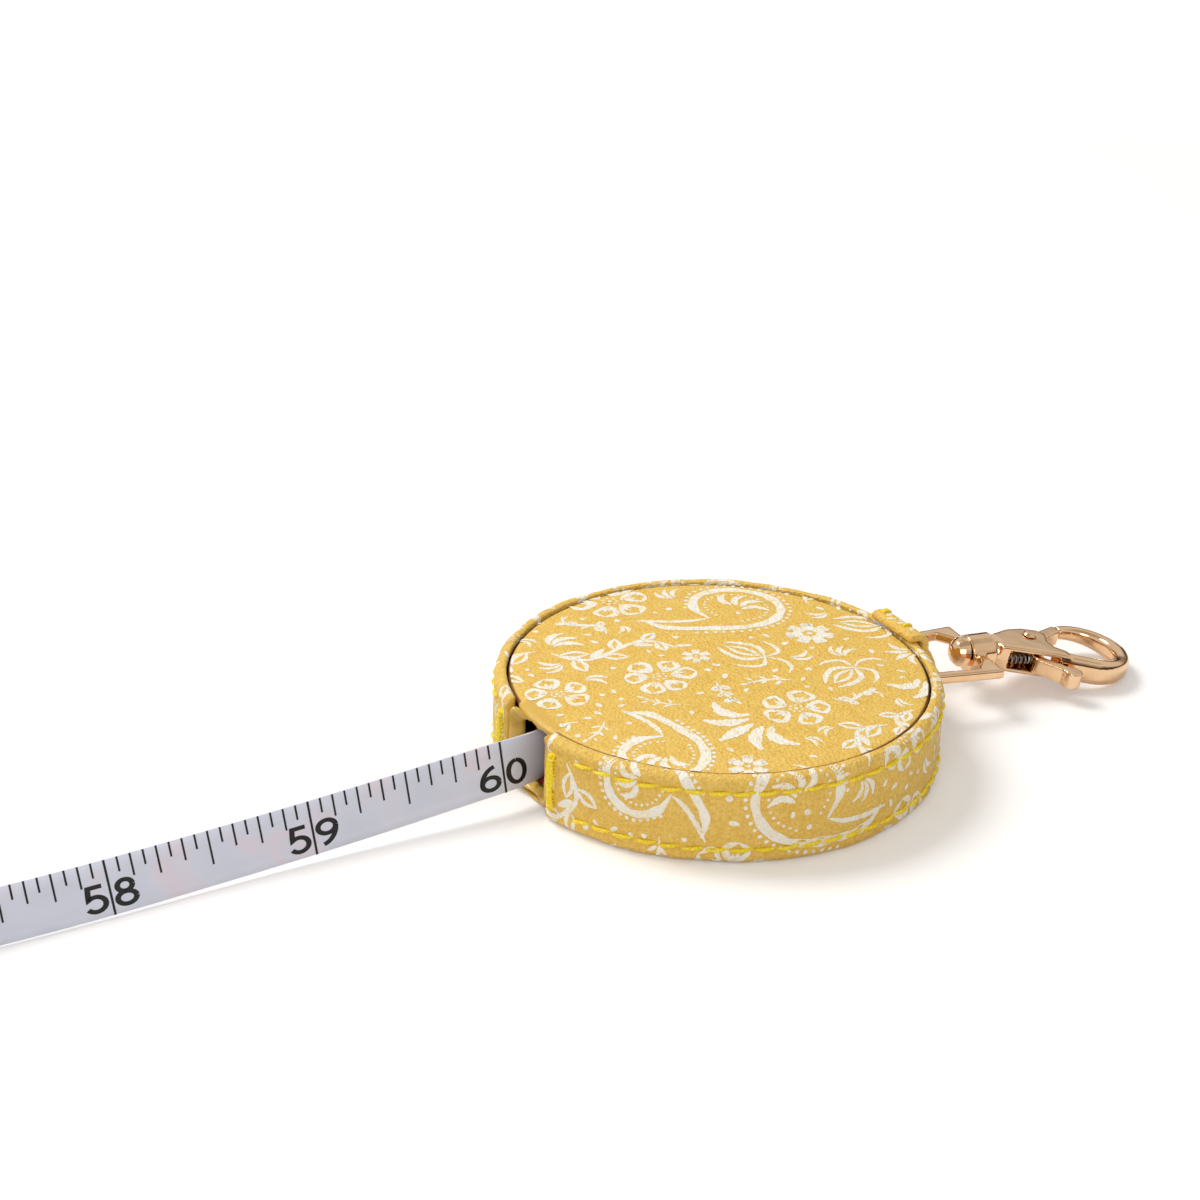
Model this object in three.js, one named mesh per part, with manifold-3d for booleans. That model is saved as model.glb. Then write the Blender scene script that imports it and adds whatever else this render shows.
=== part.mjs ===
// A retractable sewing tape measure in a leather covered round case, with a strap and a swivel snap hook.
// Millimetres, +Z up. The origin is the middle of the case on the surface that it rests on.
// +X runs from the case to the strap and the hook, and the tape comes out of the slot at -X.
import * as THREE from "three";
import { mergeVertices } from "three/addons/utils/BufferGeometryUtils.js";
import Module from "manifold-3d";

const wasm = await Module();
wasm.setup();

// Fits and cuts that several pieces share
const fit = 0.1;
const runningGap = 0.25;
const overrun = 1;
const weld = 0.0001;

// Covered case
const caseRadius = 28;
const caseHeight = 11.5;
const bandThickness = 1.3;
const bandRound = 1.1;
const lipWidth = 1.5;
const lipThickness = 0.8;
const lipRound = 0.3;
const bandLift = 0.1;
const stitchInset = 1.9;
const stitchGrooveWidth = 0.5;
const stitchGrooveDepth = 0.15;
const slotWidth = 9.8;
const seamGap = 0.2;
const coverThickness = 0.8;
const coverRound = 0.35;
const crownRise = 0.7;
const padThickness = 0.5;
const padInset = 0.6;

// Lining of the slot
const liningWall = 0.6;
const liningDepth = 2.9;
const liningSetback = 0.35;
const liningMouthFlare = 0.45;
const liningCornerRadius = 1.1;

// Plastic case inside the cover
const shellWall = 1.1;
const shellFloor = 0.8;
const shellBandGap = 0.3;
const shellLap = 0.8;
const postRadius = 2.2;
const postShoulder = 3.8;
const keyWidth = 1.9;
const keyHeight = 3.25;
const guidePostRadius = 0.9;
const guidePostOffset = 3.4;
const guidePostOffsetFar = 4.6;
const guidePostInset = 4.2;
const springSlotWidth = 0.5;
const springSlotDepth = 1;

// Tape
const inch = 25.4;
const tapeInches = 60;
const tapeWidth = 6.35;
const tapeThickness = 0.4;
const tapeStart = 0.3;
const lastMarkX = -30.58;
const wrapPitch = 0.85;
const wrapSteps = 28;
const routeSteps = 3;
const coilPitch = 2.35;
const coilTurns = 7;
const coilStepsPerTurn = 24;
const coilLift = 0.1;
const coilLeadIn = 6;
const coilEndRadius = 14;
const coilEndAngle = 0.9;
const coilEndStraight = 3;
const coilEndSteps = 6;
const coilPasses = 8;

// Spool with its brake
const drumRadius = 8.6;
const drumWall = 1;
const flangeRadius = 20.5;
const flangeThickness = 0.4;
const flangeWindowRadius = 2.6;
const flangeWindowCount = 6;
const flangeWindowPitchRadius = 14.5;
const brakeLipThickness = 0.55;
const brakeLipWidth = 0.85;

// Mainspring
const mainspringThickness = 0.15;
const mainspringHeight = 3.1;
const mainspringTurns = 5;
const mainspringStepsPerTurn = 24;
const mainspringWallGap = 0.35;
const mainspringLift = 0.15;

// Push button
const buttonRadius = 6.2;
const buttonTravel = 1;
const buttonCoverGap = 0.15;
const buttonDome = 0.3;
const buttonFlangeWidth = 1;
const buttonFlangeThickness = 0.5;
const washerThickness = 0.4;
const washerWidth = 0.8;
const socketRadius = 2.7;
const socketDepth = 0.95;
const buttonSpringRadius = 1.95;
const buttonSpringWire = 0.25;
const buttonSpringTurns = 3;

// Strap
const strapWidth = 8.9;
const strapOffset = -0.25;
const strapLayer = 0.5;
const strapRoot = 2;
const strapBend = 0.8;

// Hook ring that hangs in the strap
const barReach = 1.7;
const barDrop = 5.27;
const barShift = 0.07;
const barPlay = 0.2;
const loopMouthFrom = 0.8;
const loopMouthTo = 2.94;
const ringLength = 9.55;
const ringBarSpacing = 11.2;
const ringBossSpacing = 12.8;
const ringSection = 1.4;
const ringBevel = 0.35;
const ringCornerRadius = 0.9;
const gussetReach = 1.8;
const gussetSpan = 2.6;
const bossRadius = 2.5;
const bossLength = 3.6;
const bossMiddle = 10.205;
const chainYaw = 6;
const ringSlope = 2.5;
const hookSlope = 10.2;
const hookRoll = 4.6;

// Swivel post
const postShankRadius = 0.8;
const postShankGap = 0.32;
const postEndPlay = 0.3;
const postHeadRadius = 2.1;
const postHeadLength = 2;

// Snap hook
const collarRadius = 1.75;
const collarLength = 0.7;
const collarRound = 0.2;
const headThickness = 3.8;
const hookThickness = 2.9;
const hookBevel = 0.35;
const neckWall = 1.1;
const hookReach = 17.1;
const noseLength = 5.1;
const noseHalfWidth = 5.5;
const noseOpening = 79;
const spineSection = 2.3;
const tipSection = 1.7;
const noseSteps = 24;
const noseSides = 10;
const leverThickness = 2.2;
const leverGap = 0.15;
const leverHubRadius = 1.5;
const gateWidth = 2.1;
const gateTipWidth = 1.5;
const gateGap = 0.65;
const thumbArmWidth = 1.5;
const thumbRadius = 1.3;
const rivetRadius = 0.65;
const rivetHeadRadius = 1.05;
const rivetHeadFlat = 0.7;
const rivetHeadHeight = 0.35;
const triggerSpringY = -1.7;
const triggerSpringWire = 0.25;
const triggerSpringRadius = 0.65;
const triggerSpringTurns = 5;

// End tab of the tape
const tabLength = 9;
const tabWall = 0.35;
const tabOverlap = 4;
const tabRivetRadius = 1;
const tabRivetHead = 0.4;

// Facets
const roundSteps = 48;
const innerSteps = 36;
const smallSteps = 20;
const springSteps = 8;
const springSides = 5;

// Heights that stack up from the bottom cover
const shellBottom = coverThickness + fit;
const flangeBottom = shellBottom + shellFloor + runningGap;
const tapeBottom = flangeBottom + flangeThickness + fit;
const tapeTop = tapeBottom + tapeWidth;
const roofBottom = tapeTop + fit * 2;
const roofTop = roofBottom + shellFloor;
const padBottom = roofTop + fit;
const coverBottom = padBottom + padThickness + fit;
const coverEdgeTop = coverBottom + coverThickness;
const drumTop = tapeTop - fit;
const shellRadius = caseRadius - bandThickness - shellBandGap;
const coverRadius = caseRadius - lipWidth - seamGap;
const slotEdgeX = -Math.sqrt(caseRadius ** 2 - (slotWidth / 2) ** 2);
const barX = caseRadius + barReach;
const barZ = caseHeight - barDrop;

// Colours and finishes
const leatherFinish = { color: "#e8bd58", roughness: 0.62, metalness: 0 };
const vinylFinish = { color: "#d9b445", roughness: 0.35, metalness: 0 };
const plasticFinish = { color: "#8c1d2a", roughness: 0.4, metalness: 0 };
const nylonFinish = { color: "#e6e2d8", roughness: 0.5, metalness: 0 };
const tapeFinish = { color: "#e9ecf4", roughness: 0.42, metalness: 0 };
const steelFinish = { color: "#a9abae", roughness: 0.3, metalness: 1 };
const goldFinish = { color: "#e0ad86", roughness: 0.16, metalness: 1 };
const foamFinish = { color: "#d8d3c4", roughness: 0.95, metalness: 0 };
const rubberFinish = { color: "#333130", roughness: 0.8, metalness: 0 };

// Helpers for solids

function mesh(name, geometry, finish) {
  const flat = geometry.index ? geometry.toNonIndexed() : geometry;
  flat.computeVertexNormals();
  const made = new THREE.Mesh(flat, new THREE.MeshStandardMaterial(finish));
  made.name = name;
  return made;
}

function solidOf(geometry) {
  const bare = geometry.clone();
  bare.deleteAttribute("normal");
  bare.deleteAttribute("uv");
  const merged = mergeVertices(bare, weld);
  return new wasm.Manifold(
    new wasm.Mesh({
      numProp: 3,
      vertProperties: merged.attributes.position.array,
      triVerts: new Uint32Array(merged.index.array),
    }),
  );
}

function geometryOf(solid) {
  const made = solid.getMesh();
  const geometry = new THREE.BufferGeometry();
  geometry.setAttribute("position", new THREE.BufferAttribute(made.vertProperties, 3));
  geometry.setIndex(new THREE.BufferAttribute(made.triVerts, 1));
  return geometry;
}

// Turns a closed profile of [radius, height] pairs about Z. The profile runs counterclockwise, seen with
// the radius to the right and the height up.
function revolve(profile, steps) {
  const points = profile.map(([radius, height]) => new THREE.Vector2(radius, height));
  points.push(points[0].clone());
  const lathe = new THREE.LatheGeometry(points, steps);
  return lathe.rotateX(Math.PI / 2);
}

function box(low, high) {
  const size = high.map((value, axis) => value - low[axis]);
  const made = new THREE.BoxGeometry(...size);
  return made.translate(...low.map((value, axis) => value + size[axis] / 2));
}

function cylinder(radius, bottom, top, steps, x = 0, y = 0) {
  const made = new THREE.CylinderGeometry(radius, radius, top - bottom, steps);
  return made.rotateX(Math.PI / 2).translate(x, y, (top + bottom) / 2);
}

function roundedCorner(centreX, centreY, radius, from, to, steps) {
  return Array.from({ length: steps + 1 }, (_, i) => {
    const angle = from + ((to - from) * i) / steps;
    return [centreX + radius * Math.cos(angle), centreY + radius * Math.sin(angle)];
  });
}

// Joins rings of points into a closed tube. Each ring runs counterclockwise about the way of travel.
function tubeOf(rings) {
  const count = rings[0].length;
  const position = rings.flat().flatMap((point) => point.toArray());
  const index = [];
  for (let i = 0; i + 1 < rings.length; i += 1)
    for (let j = 0; j < count; j += 1) {
      const a = i * count + j;
      const b = i * count + ((j + 1) % count);
      index.push(a, b, b + count, a, b + count, a + count);
    }
  const last = (rings.length - 1) * count;
  for (let j = 1; j + 1 < count; j += 1) {
    index.push(0, j + 1, j);
    index.push(last, last + j, last + j + 1);
  }
  const geometry = new THREE.BufferGeometry();
  geometry.setAttribute("position", new THREE.Float32BufferAttribute(position, 3));
  geometry.setIndex(index);
  return geometry;
}

// One cross-section of a flat strip from the middles of its lower and upper edge.
function stripRing(lower, upper, travel, thickness) {
  const up = upper.clone().sub(lower).normalize();
  const across = up.clone().cross(travel).normalize().multiplyScalar(thickness / 2);
  return [
    lower.clone().sub(across),
    lower.clone().add(across),
    upper.clone().add(across),
    upper.clone().sub(across),
  ];
}

function stripOf(lowers, uppers, thickness) {
  const middles = lowers.map((lower, i) => lower.clone().lerp(uppers[i], 1 / 2));
  const rings = middles.map((_, i) => {
    const before = middles[Math.max(i - 1, 0)];
    const after = middles[Math.min(i + 1, middles.length - 1)];
    const travel = after.clone().sub(before).normalize();
    return stripRing(lowers[i], uppers[i], travel, thickness);
  });
  return tubeOf(rings);
}

// A round wire along a helix about Z, with half a flat turn at each end.
function springOf(radius, wire, turns, bottom, top) {
  const count = Math.round(turns * springSteps);
  const flat = springSteps / 2;
  const rings = [];
  for (let i = 0; i <= count; i += 1) {
    const climb = Math.min(Math.max(i - flat, 0), count - 2 * flat) / (count - 2 * flat);
    const angle = (2 * Math.PI * i) / springSteps;
    const height = bottom + wire / 2 + climb * (top - bottom - wire);
    const out = new THREE.Vector3(Math.cos(angle), Math.sin(angle), 0);
    const centre = out.clone().multiplyScalar(radius).setZ(height);
    rings.push(
      Array.from({ length: springSides }, (_, j) => {
        const turn = (-2 * Math.PI * j) / springSides;
        return centre
          .clone()
          .addScaledVector(out, (wire / 2) * Math.cos(turn))
          .setZ(height + (wire / 2) * Math.sin(turn));
      }),
    );
  }
  return tubeOf(rings);
}

// Covered case

function bandProfile() {
  const inner = caseRadius - bandThickness;
  const lipEdge = caseRadius - lipWidth;
  const top = caseHeight;
  const bottom = bandLift;
  const groove = stitchGrooveWidth / 2;
  const stitchRows = [bottom + stitchInset, top - stitchInset];
  return [
    ...roundedCorner(lipEdge + lipRound, bottom + lipRound, lipRound, Math.PI, 1.5 * Math.PI, 2),
    ...roundedCorner(caseRadius - bandRound, bottom + bandRound, bandRound, -Math.PI / 2, 0, 4),
    ...stitchRows.flatMap((row) => [
      [caseRadius, row - groove],
      [caseRadius - stitchGrooveDepth, row],
      [caseRadius, row + groove],
    ]),
    ...roundedCorner(caseRadius - bandRound, top - bandRound, bandRound, 0, Math.PI / 2, 4),
    ...roundedCorner(lipEdge + lipRound, top - lipRound, lipRound, Math.PI / 2, Math.PI, 2),
    [lipEdge, top - lipThickness],
    [inner, top - lipThickness],
    [inner, bottom + lipThickness],
    [lipEdge, bottom + lipThickness],
  ];
}

function slotBox(halfWidth, low, high, innerX = -caseRadius / 2) {
  return box([-caseRadius - overrun, -halfWidth, low], [innerX, halfWidth, high]);
}

function sideBand() {
  const ring = solidOf(revolve(bandProfile(), roundSteps));
  const gap = solidOf(slotBox(slotWidth / 2, -overrun, caseHeight + overrun));
  return mesh("side_band", geometryOf(ring.subtract(gap)), leatherFinish);
}

// Height of the padded crown above its edge at a share of the radius.
function crownAt(share) {
  return crownRise * (1 - share ** 2) * (1 - share ** 8 / 2);
}

function coverProfile(radius, bottom, edgeTop, crown) {
  const crownShares = [0.94, 0.82, 0.66, 0.45, 0.22, 0];
  const edge = roundedCorner(radius - coverRound, edgeTop - coverRound, coverRound, 0, Math.PI / 2, 3);
  const top = crownShares.map((share) => [radius * share, edgeTop + crown * crownAt(share)]);
  const under = crownShares
    .slice()
    .reverse()
    .map((share) => [
      Math.min(radius * share, radius - bandThickness),
      bottom + crown * crownAt(share),
    ]);
  return [...edge, ...top, ...under, [radius - coverRound, bottom], [radius, bottom + coverRound / 2]];
}

function cover(name, bottom, edgeTop, crown) {
  const profile = coverProfile(coverRadius, bottom, edgeTop, crown);
  return mesh(name, revolve(profile, roundSteps), leatherFinish);
}

function topPad() {
  const radius = coverRadius - padInset;
  const hole = buttonRadius + runningGap * 2;
  const shares = [0.94, 0.8, 0.6, 0.4].filter((share) => radius * share > hole);
  const holeTop = padBottom + padThickness + crownAt(hole / coverRadius);
  const profile = [
    [hole, padBottom],
    [radius, padBottom],
    [radius, padBottom + padThickness],
    ...shares.map((share) => [
      radius * share,
      padBottom + padThickness + crownAt((radius * share) / coverRadius) - fit / 2,
    ]),
    [hole, holeTop - fit / 2],
  ];
  const pad = solidOf(revolve(profile, innerSteps)).subtract(slotNotch());
  return mesh("top_pad", geometryOf(pad), foamFinish);
}

// The slot's lining is a short flared collar of folded vinyl.
function slotLining() {
  const outerX = slotEdgeX + liningSetback;
  const innerX = outerX + liningDepth;
  const bottom = shellBottom + fit;
  const top = coverBottom - fit;
  const half = slotWidth / 2 - seamGap;
  const body = solidOf(box([outerX, -half, bottom], [innerX, half, top]));
  const section = (x, wall) => {
    const corner = liningCornerRadius;
    const y = half - wall;
    const low = bottom + wall;
    const high = top - wall;
    return [
      ...roundedCorner(-y + corner, low + corner, corner, Math.PI, 1.5 * Math.PI, 3),
      ...roundedCorner(y - corner, low + corner, corner, 1.5 * Math.PI, 2 * Math.PI, 3),
      ...roundedCorner(y - corner, high - corner, corner, 0, Math.PI / 2, 3),
      ...roundedCorner(-y + corner, high - corner, corner, Math.PI / 2, Math.PI, 3),
    ].map(([a, b]) => new THREE.Vector3(x, a, b));
  };
  const throat = liningWall + liningMouthFlare;
  const passage = tubeOf([
    section(outerX - overrun, liningWall / 3),
    section(outerX, liningWall / 3),
    section(outerX + liningDepth / 4, liningWall),
    section(outerX + (2 * liningDepth) / 3, throat),
    section(innerX, throat),
    section(innerX + overrun, throat),
  ]);
  return mesh("slot_lining", geometryOf(body.subtract(solidOf(passage))), vinylFinish);
}

// Plastic case

function slotNotch() {
  const inner = slotEdgeX + liningSetback + liningDepth + fit;
  return solidOf(slotBox(slotWidth / 2, -overrun, caseHeight + overrun, inner));
}

function upperShell() {
  const inner = shellRadius - shellWall;
  const split = (shellBottom + roofTop) / 2;
  const lap = shellRadius - shellWall / 2;
  const hole = buttonRadius + runningGap;
  const profile = [
    [hole, roofBottom],
    [inner, roofBottom],
    [inner, split],
    [lap - fit / 2, split],
    [lap - fit / 2, split + shellLap],
    [shellRadius, split + shellLap],
    [shellRadius, roofTop],
    [hole, roofTop],
  ];
  const shell = solidOf(revolve(profile, innerSteps)).subtract(slotNotch());
  return mesh("upper_shell", geometryOf(shell), plasticFinish);
}

function lowerShell() {
  const inner = shellRadius - shellWall;
  const split = (shellBottom + roofTop) / 2;
  const lap = shellRadius - shellWall / 2;
  const floorTop = shellBottom + shellFloor;
  const profile = [
    [0, shellBottom],
    [shellRadius, shellBottom],
    [shellRadius, split + shellLap - fit],
    [lap + fit / 2, split + shellLap - fit],
    [lap + fit / 2, split - fit],
    [inner, split - fit],
    [inner, floorTop],
    [postRadius, floorTop],
    [postRadius, flangeBottom + postShoulder],
    [0, flangeBottom + postShoulder],
  ];
  const shoulder = flangeBottom + postShoulder;
  const half = keyWidth / 2;
  const key = box([-half, -half, shoulder - overrun], [half, half, shoulder + keyHeight]);
  const slotHalf = springSlotWidth / 2;
  const springSlot = box(
    [postRadius - springSlotDepth, -slotHalf, mainspringBottom - fit],
    [postRadius + overrun, slotHalf, shoulder + overrun],
  );
  const guideX = slotEdgeX + guidePostInset + guidePostRadius;
  const guides = [-guidePostOffset, guidePostOffsetFar].map((y) =>
    solidOf(cylinder(guidePostRadius, floorTop - fit, roofBottom - fit, smallSteps / 2, guideX, y)),
  );
  const shell = guides.reduce(
    (sum, guide) => sum.add(guide),
    solidOf(revolve(profile, innerSteps)).subtract(slotNotch()),
  );
  return mesh(
    "lower_shell",
    geometryOf(shell.add(solidOf(key)).subtract(solidOf(springSlot))),
    plasticFinish,
  );
}

// Spool, mainspring and brake

const mainspringBottom = flangeBottom + flangeThickness + mainspringLift;

function spool() {
  const bore = postRadius + runningGap;
  const drumInner = drumRadius - drumWall;
  const lipInner = drumInner - brakeLipWidth;
  const flangeTop = flangeBottom + flangeThickness;
  const profile = [
    [bore, flangeBottom],
    [flangeRadius, flangeBottom],
    [flangeRadius, flangeTop],
    [drumRadius, flangeTop],
    [drumRadius, drumTop],
    [lipInner, drumTop],
    [lipInner, drumTop - brakeLipThickness],
    [drumInner, drumTop - brakeLipThickness],
    [drumInner, flangeTop],
    [bore, flangeTop],
  ];
  let body = solidOf(revolve(profile, innerSteps));
  for (let i = 0; i < flangeWindowCount; i += 1) {
    const angle = (2 * Math.PI * i) / flangeWindowCount;
    const x = flangeWindowPitchRadius * Math.cos(angle);
    const y = flangeWindowPitchRadius * Math.sin(angle);
    const low = flangeBottom - overrun;
    const high = flangeTop + overrun;
    body = body.subtract(solidOf(cylinder(flangeWindowRadius, low, high, smallSteps, x, y)));
  }
  return mesh("spool", geometryOf(body), nylonFinish);
}

function mainspring() {
  const inner = postRadius + springSlotWidth;
  const outer = drumRadius - drumWall - mainspringWallGap;
  const count = mainspringTurns * mainspringStepsPerTurn;
  const lowers = [new THREE.Vector3(postRadius - springSlotDepth / 2, 0, mainspringBottom)];
  for (let i = 0; i <= count; i += 1) {
    const angle = (2 * Math.PI * i) / mainspringStepsPerTurn;
    const radius = inner + ((outer - inner) * i) / count;
    lowers.push(
      new THREE.Vector3(radius * Math.cos(angle), radius * Math.sin(angle), mainspringBottom),
    );
  }
  const uppers = lowers.map((point) => point.clone().setZ(point.z + mainspringHeight));
  return mesh("mainspring", stripOf(lowers, uppers, mainspringThickness), steelFinish);
}

const buttonFlangeTop = drumTop - brakeLipThickness - fit - washerThickness - fit;
const buttonFlangeBottom = buttonFlangeTop - buttonFlangeThickness;
const buttonTop = coverBottom + crownRise - buttonCoverGap;

function pushButton() {
  const outer = buttonRadius + buttonFlangeWidth;
  const profile = [
    [0, buttonFlangeBottom + socketDepth],
    [socketRadius, buttonFlangeBottom + socketDepth],
    [socketRadius, buttonFlangeBottom],
    [outer, buttonFlangeBottom],
    [outer, buttonFlangeTop],
    [buttonRadius, buttonFlangeTop],
    [buttonRadius, buttonTop - buttonDome * 2],
    [buttonRadius - buttonDome, buttonTop - buttonDome],
    [buttonRadius / 2, buttonTop - buttonDome / 5],
    [0, buttonTop],
  ];
  const half = keyWidth / 2 + runningGap;
  const keyway = box(
    [-half, -half, buttonFlangeBottom],
    [half, half, flangeBottom + postShoulder + keyHeight + buttonTravel + runningGap],
  );
  const body = solidOf(revolve(profile, innerSteps)).subtract(solidOf(keyway));
  return mesh("push_button", geometryOf(body), plasticFinish);
}

function brakeWasher() {
  const inner = buttonRadius + fit;
  const bottom = buttonFlangeTop + fit / 2;
  const profile = [
    [inner, bottom],
    [inner + washerWidth, bottom],
    [inner + washerWidth, bottom + washerThickness],
    [inner, bottom + washerThickness],
  ];
  return mesh("brake_washer", revolve(profile, innerSteps), rubberFinish);
}

function buttonSpring() {
  const bottom = flangeBottom + postShoulder + fit;
  const top = buttonFlangeBottom + socketDepth - fit;
  const geometry = springOf(buttonSpringRadius, buttonSpringWire, buttonSpringTurns, bottom, top);
  return mesh("button_spring", geometry, steelFinish);
}

// Tape

const wrapRadius = drumRadius + fit + tapeThickness / 2;
const leaveRadius = wrapRadius + wrapPitch;

// Rows of the tape's route outside the drum: x, y, lift of the lower edge and lean of the upper edge
// towards +Y in degrees.
const tapeRoute = [
  [-21.6, 2.05, tapeBottom, 0],
  [-25.2, 0.75, 2.4, 6],
  [-27.8, 0.2, 2.42, 12],
  [lastMarkX, 0.03, 2.4, 17.3],
  [-36.5, 0, 2, 19.3],
  [-45, -0.05, 1.4, 21.3],
  [-55.94, -0.19, 0.8, 23.5],
  [-68, -0.5, 0.45, 26.2],
  [-81.3, -0.95, 0.26, 28.8],
  [-92, -1.2, 0.2, 27.5],
  [-101, -1.3, 0.18, 21],
  [-109, -1.4, 0.15, 11],
  [-115, -1.4, 0.12, 3],
  [-119, -1.4, coilLift, 0],
  [-122, -1.4, coilLift, 0],
];
const coilCentreX = -128;
const coilEntryY = -1.4;

// The tape leaves the drum along the tangent that meets the route's first point.
function leavePoint() {
  const [x, y] = tapeRoute[0];
  const distance = Math.hypot(x, y);
  const angle = Math.atan2(y, x) - Math.acos(leaveRadius / distance);
  return { angle, x: leaveRadius * Math.cos(angle), y: leaveRadius * Math.sin(angle) };
}

function tapeWraps() {
  const { angle } = leavePoint();
  const lowers = Array.from({ length: wrapSteps + 1 }, (_, i) => {
    const share = i / wrapSteps;
    const turn = angle - 2 * Math.PI * (1 - share);
    const radius = wrapRadius + wrapPitch * share;
    return new THREE.Vector3(radius * Math.cos(turn), radius * Math.sin(turn), tapeBottom);
  });
  const uppers = lowers.map((point) => point.clone().setZ(tapeTop));
  return mesh("tape_wraps", stripOf(lowers, uppers, tapeThickness), tapeFinish);
}

// Lower and upper edge of a strip that leans: the lean turns it about its way of travel.
function leaningEdges(rows) {
  const points = rows.map(([x, y]) => new THREE.Vector3(x, y, 0));
  return rows.map(([x, y, lift, lean], i) => {
    const before = points[Math.max(i - 1, 0)];
    const after = points[Math.min(i + 1, points.length - 1)];
    const travel = after.clone().sub(before).normalize();
    const side = travel.cross(new THREE.Vector3(0, 0, 1));
    const angle = THREE.MathUtils.degToRad(lean);
    const up = new THREE.Vector3(0, 0, Math.cos(angle)).addScaledVector(side, Math.sin(angle));
    const lower = new THREE.Vector3(x, y, lift).addScaledVector(side, (-tapeWidth / 2) * Math.sin(angle));
    return { lower, upper: lower.clone().addScaledVector(up, tapeWidth) };
  });
}

function tapeRun() {
  const leave = leavePoint();
  const heading = leave.angle + Math.PI / 2;
  const startX = leave.x + tapeStart * Math.cos(heading);
  const startY = leave.y + tapeStart * Math.sin(heading);
  const rows = [[startX, startY, tapeBottom, 0], ...tapeRoute];
  const edges = leaningEdges(rows);
  const count = (rows.length - 1) * routeSteps;
  const lower = new THREE.CatmullRomCurve3(edges.map((edge) => edge.lower)).getPoints(count);
  const upper = new THREE.CatmullRomCurve3(edges.map((edge) => edge.upper)).getPoints(count);
  return mesh("tape_run", stripOf(lower, upper, tapeThickness), tapeFinish);
}

function lengthOf(points) {
  return points.slice(1).reduce((sum, point, i) => sum + point.distanceTo(points[i]), 0);
}

// The part of the tape that the photograph doesn't show, wound flat on its edge.
function coilPoints(outerRadius) {
  const centre = new THREE.Vector3(coilCentreX, coilEntryY + outerRadius, coilLift);
  const points = [new THREE.Vector3(coilCentreX + coilLeadIn - tapeStart, coilEntryY, coilLift)];
  const count = coilTurns * coilStepsPerTurn;
  for (let i = 0; i <= count; i += 1) {
    const turns = i / coilStepsPerTurn;
    const angle = -Math.PI / 2 - 2 * Math.PI * turns;
    const radius = outerRadius - coilPitch * turns;
    points.push(
      new THREE.Vector3(Math.cos(angle), Math.sin(angle), 0).multiplyScalar(radius).add(centre),
    );
  }
  const innerRadius = outerRadius - coilPitch * coilTurns;
  const endCentre = centre.clone();
  endCentre.y += coilEndRadius - innerRadius;
  for (let i = 1; i <= coilEndSteps; i += 1) {
    const angle = -Math.PI / 2 - (coilEndAngle * i) / coilEndSteps;
    const out = new THREE.Vector3(Math.cos(angle), Math.sin(angle), 0);
    points.push(out.multiplyScalar(coilEndRadius).add(endCentre));
  }
  const heading = Math.PI - coilEndAngle;
  const end = points[points.length - 1];
  const ahead = new THREE.Vector3(Math.cos(heading), Math.sin(heading), 0);
  points.push(end.clone().addScaledVector(ahead, coilEndStraight));
  return points;
}

// The outer radius that puts the whole length away in the coil's turns.
function coilRadius() {
  const outside = tapeRoute.filter(([x]) => x <= lastMarkX);
  const visible = lengthOf(outside.map(([x, y]) => new THREE.Vector3(x, y, 0)));
  const wanted = tapeInches * inch - (tabLength - tabOverlap) - visible;
  let radius = wanted / (2 * Math.PI * coilTurns) + (coilPitch * coilTurns) / 2;
  for (let pass = 0; pass < coilPasses; pass += 1)
    radius += (wanted - lengthOf(coilPoints(radius))) / (2 * Math.PI * coilTurns);
  return radius;
}

function leastGap(points, thickness) {
  let least = Infinity;
  const apart = coilStepsPerTurn / 2;
  points.forEach((point, i) =>
    points.slice(i + apart).forEach((other) => {
      least = Math.min(least, point.distanceTo(other));
    }),
  );
  return least - thickness;
}

function tapeCoil() {
  const lowers = coilPoints(coilRadius());
  console.log("tape coil: least gap between turns", leastGap(lowers, tapeThickness).toFixed(2), "mm");
  console.log("tape coil: length", lengthOf(lowers).toFixed(1), "mm");
  const uppers = lowers.map((point) => point.clone().setZ(coilLift + tapeWidth));
  return mesh("tape_coil", stripOf(lowers, uppers, tapeThickness), tapeFinish);
}

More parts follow.
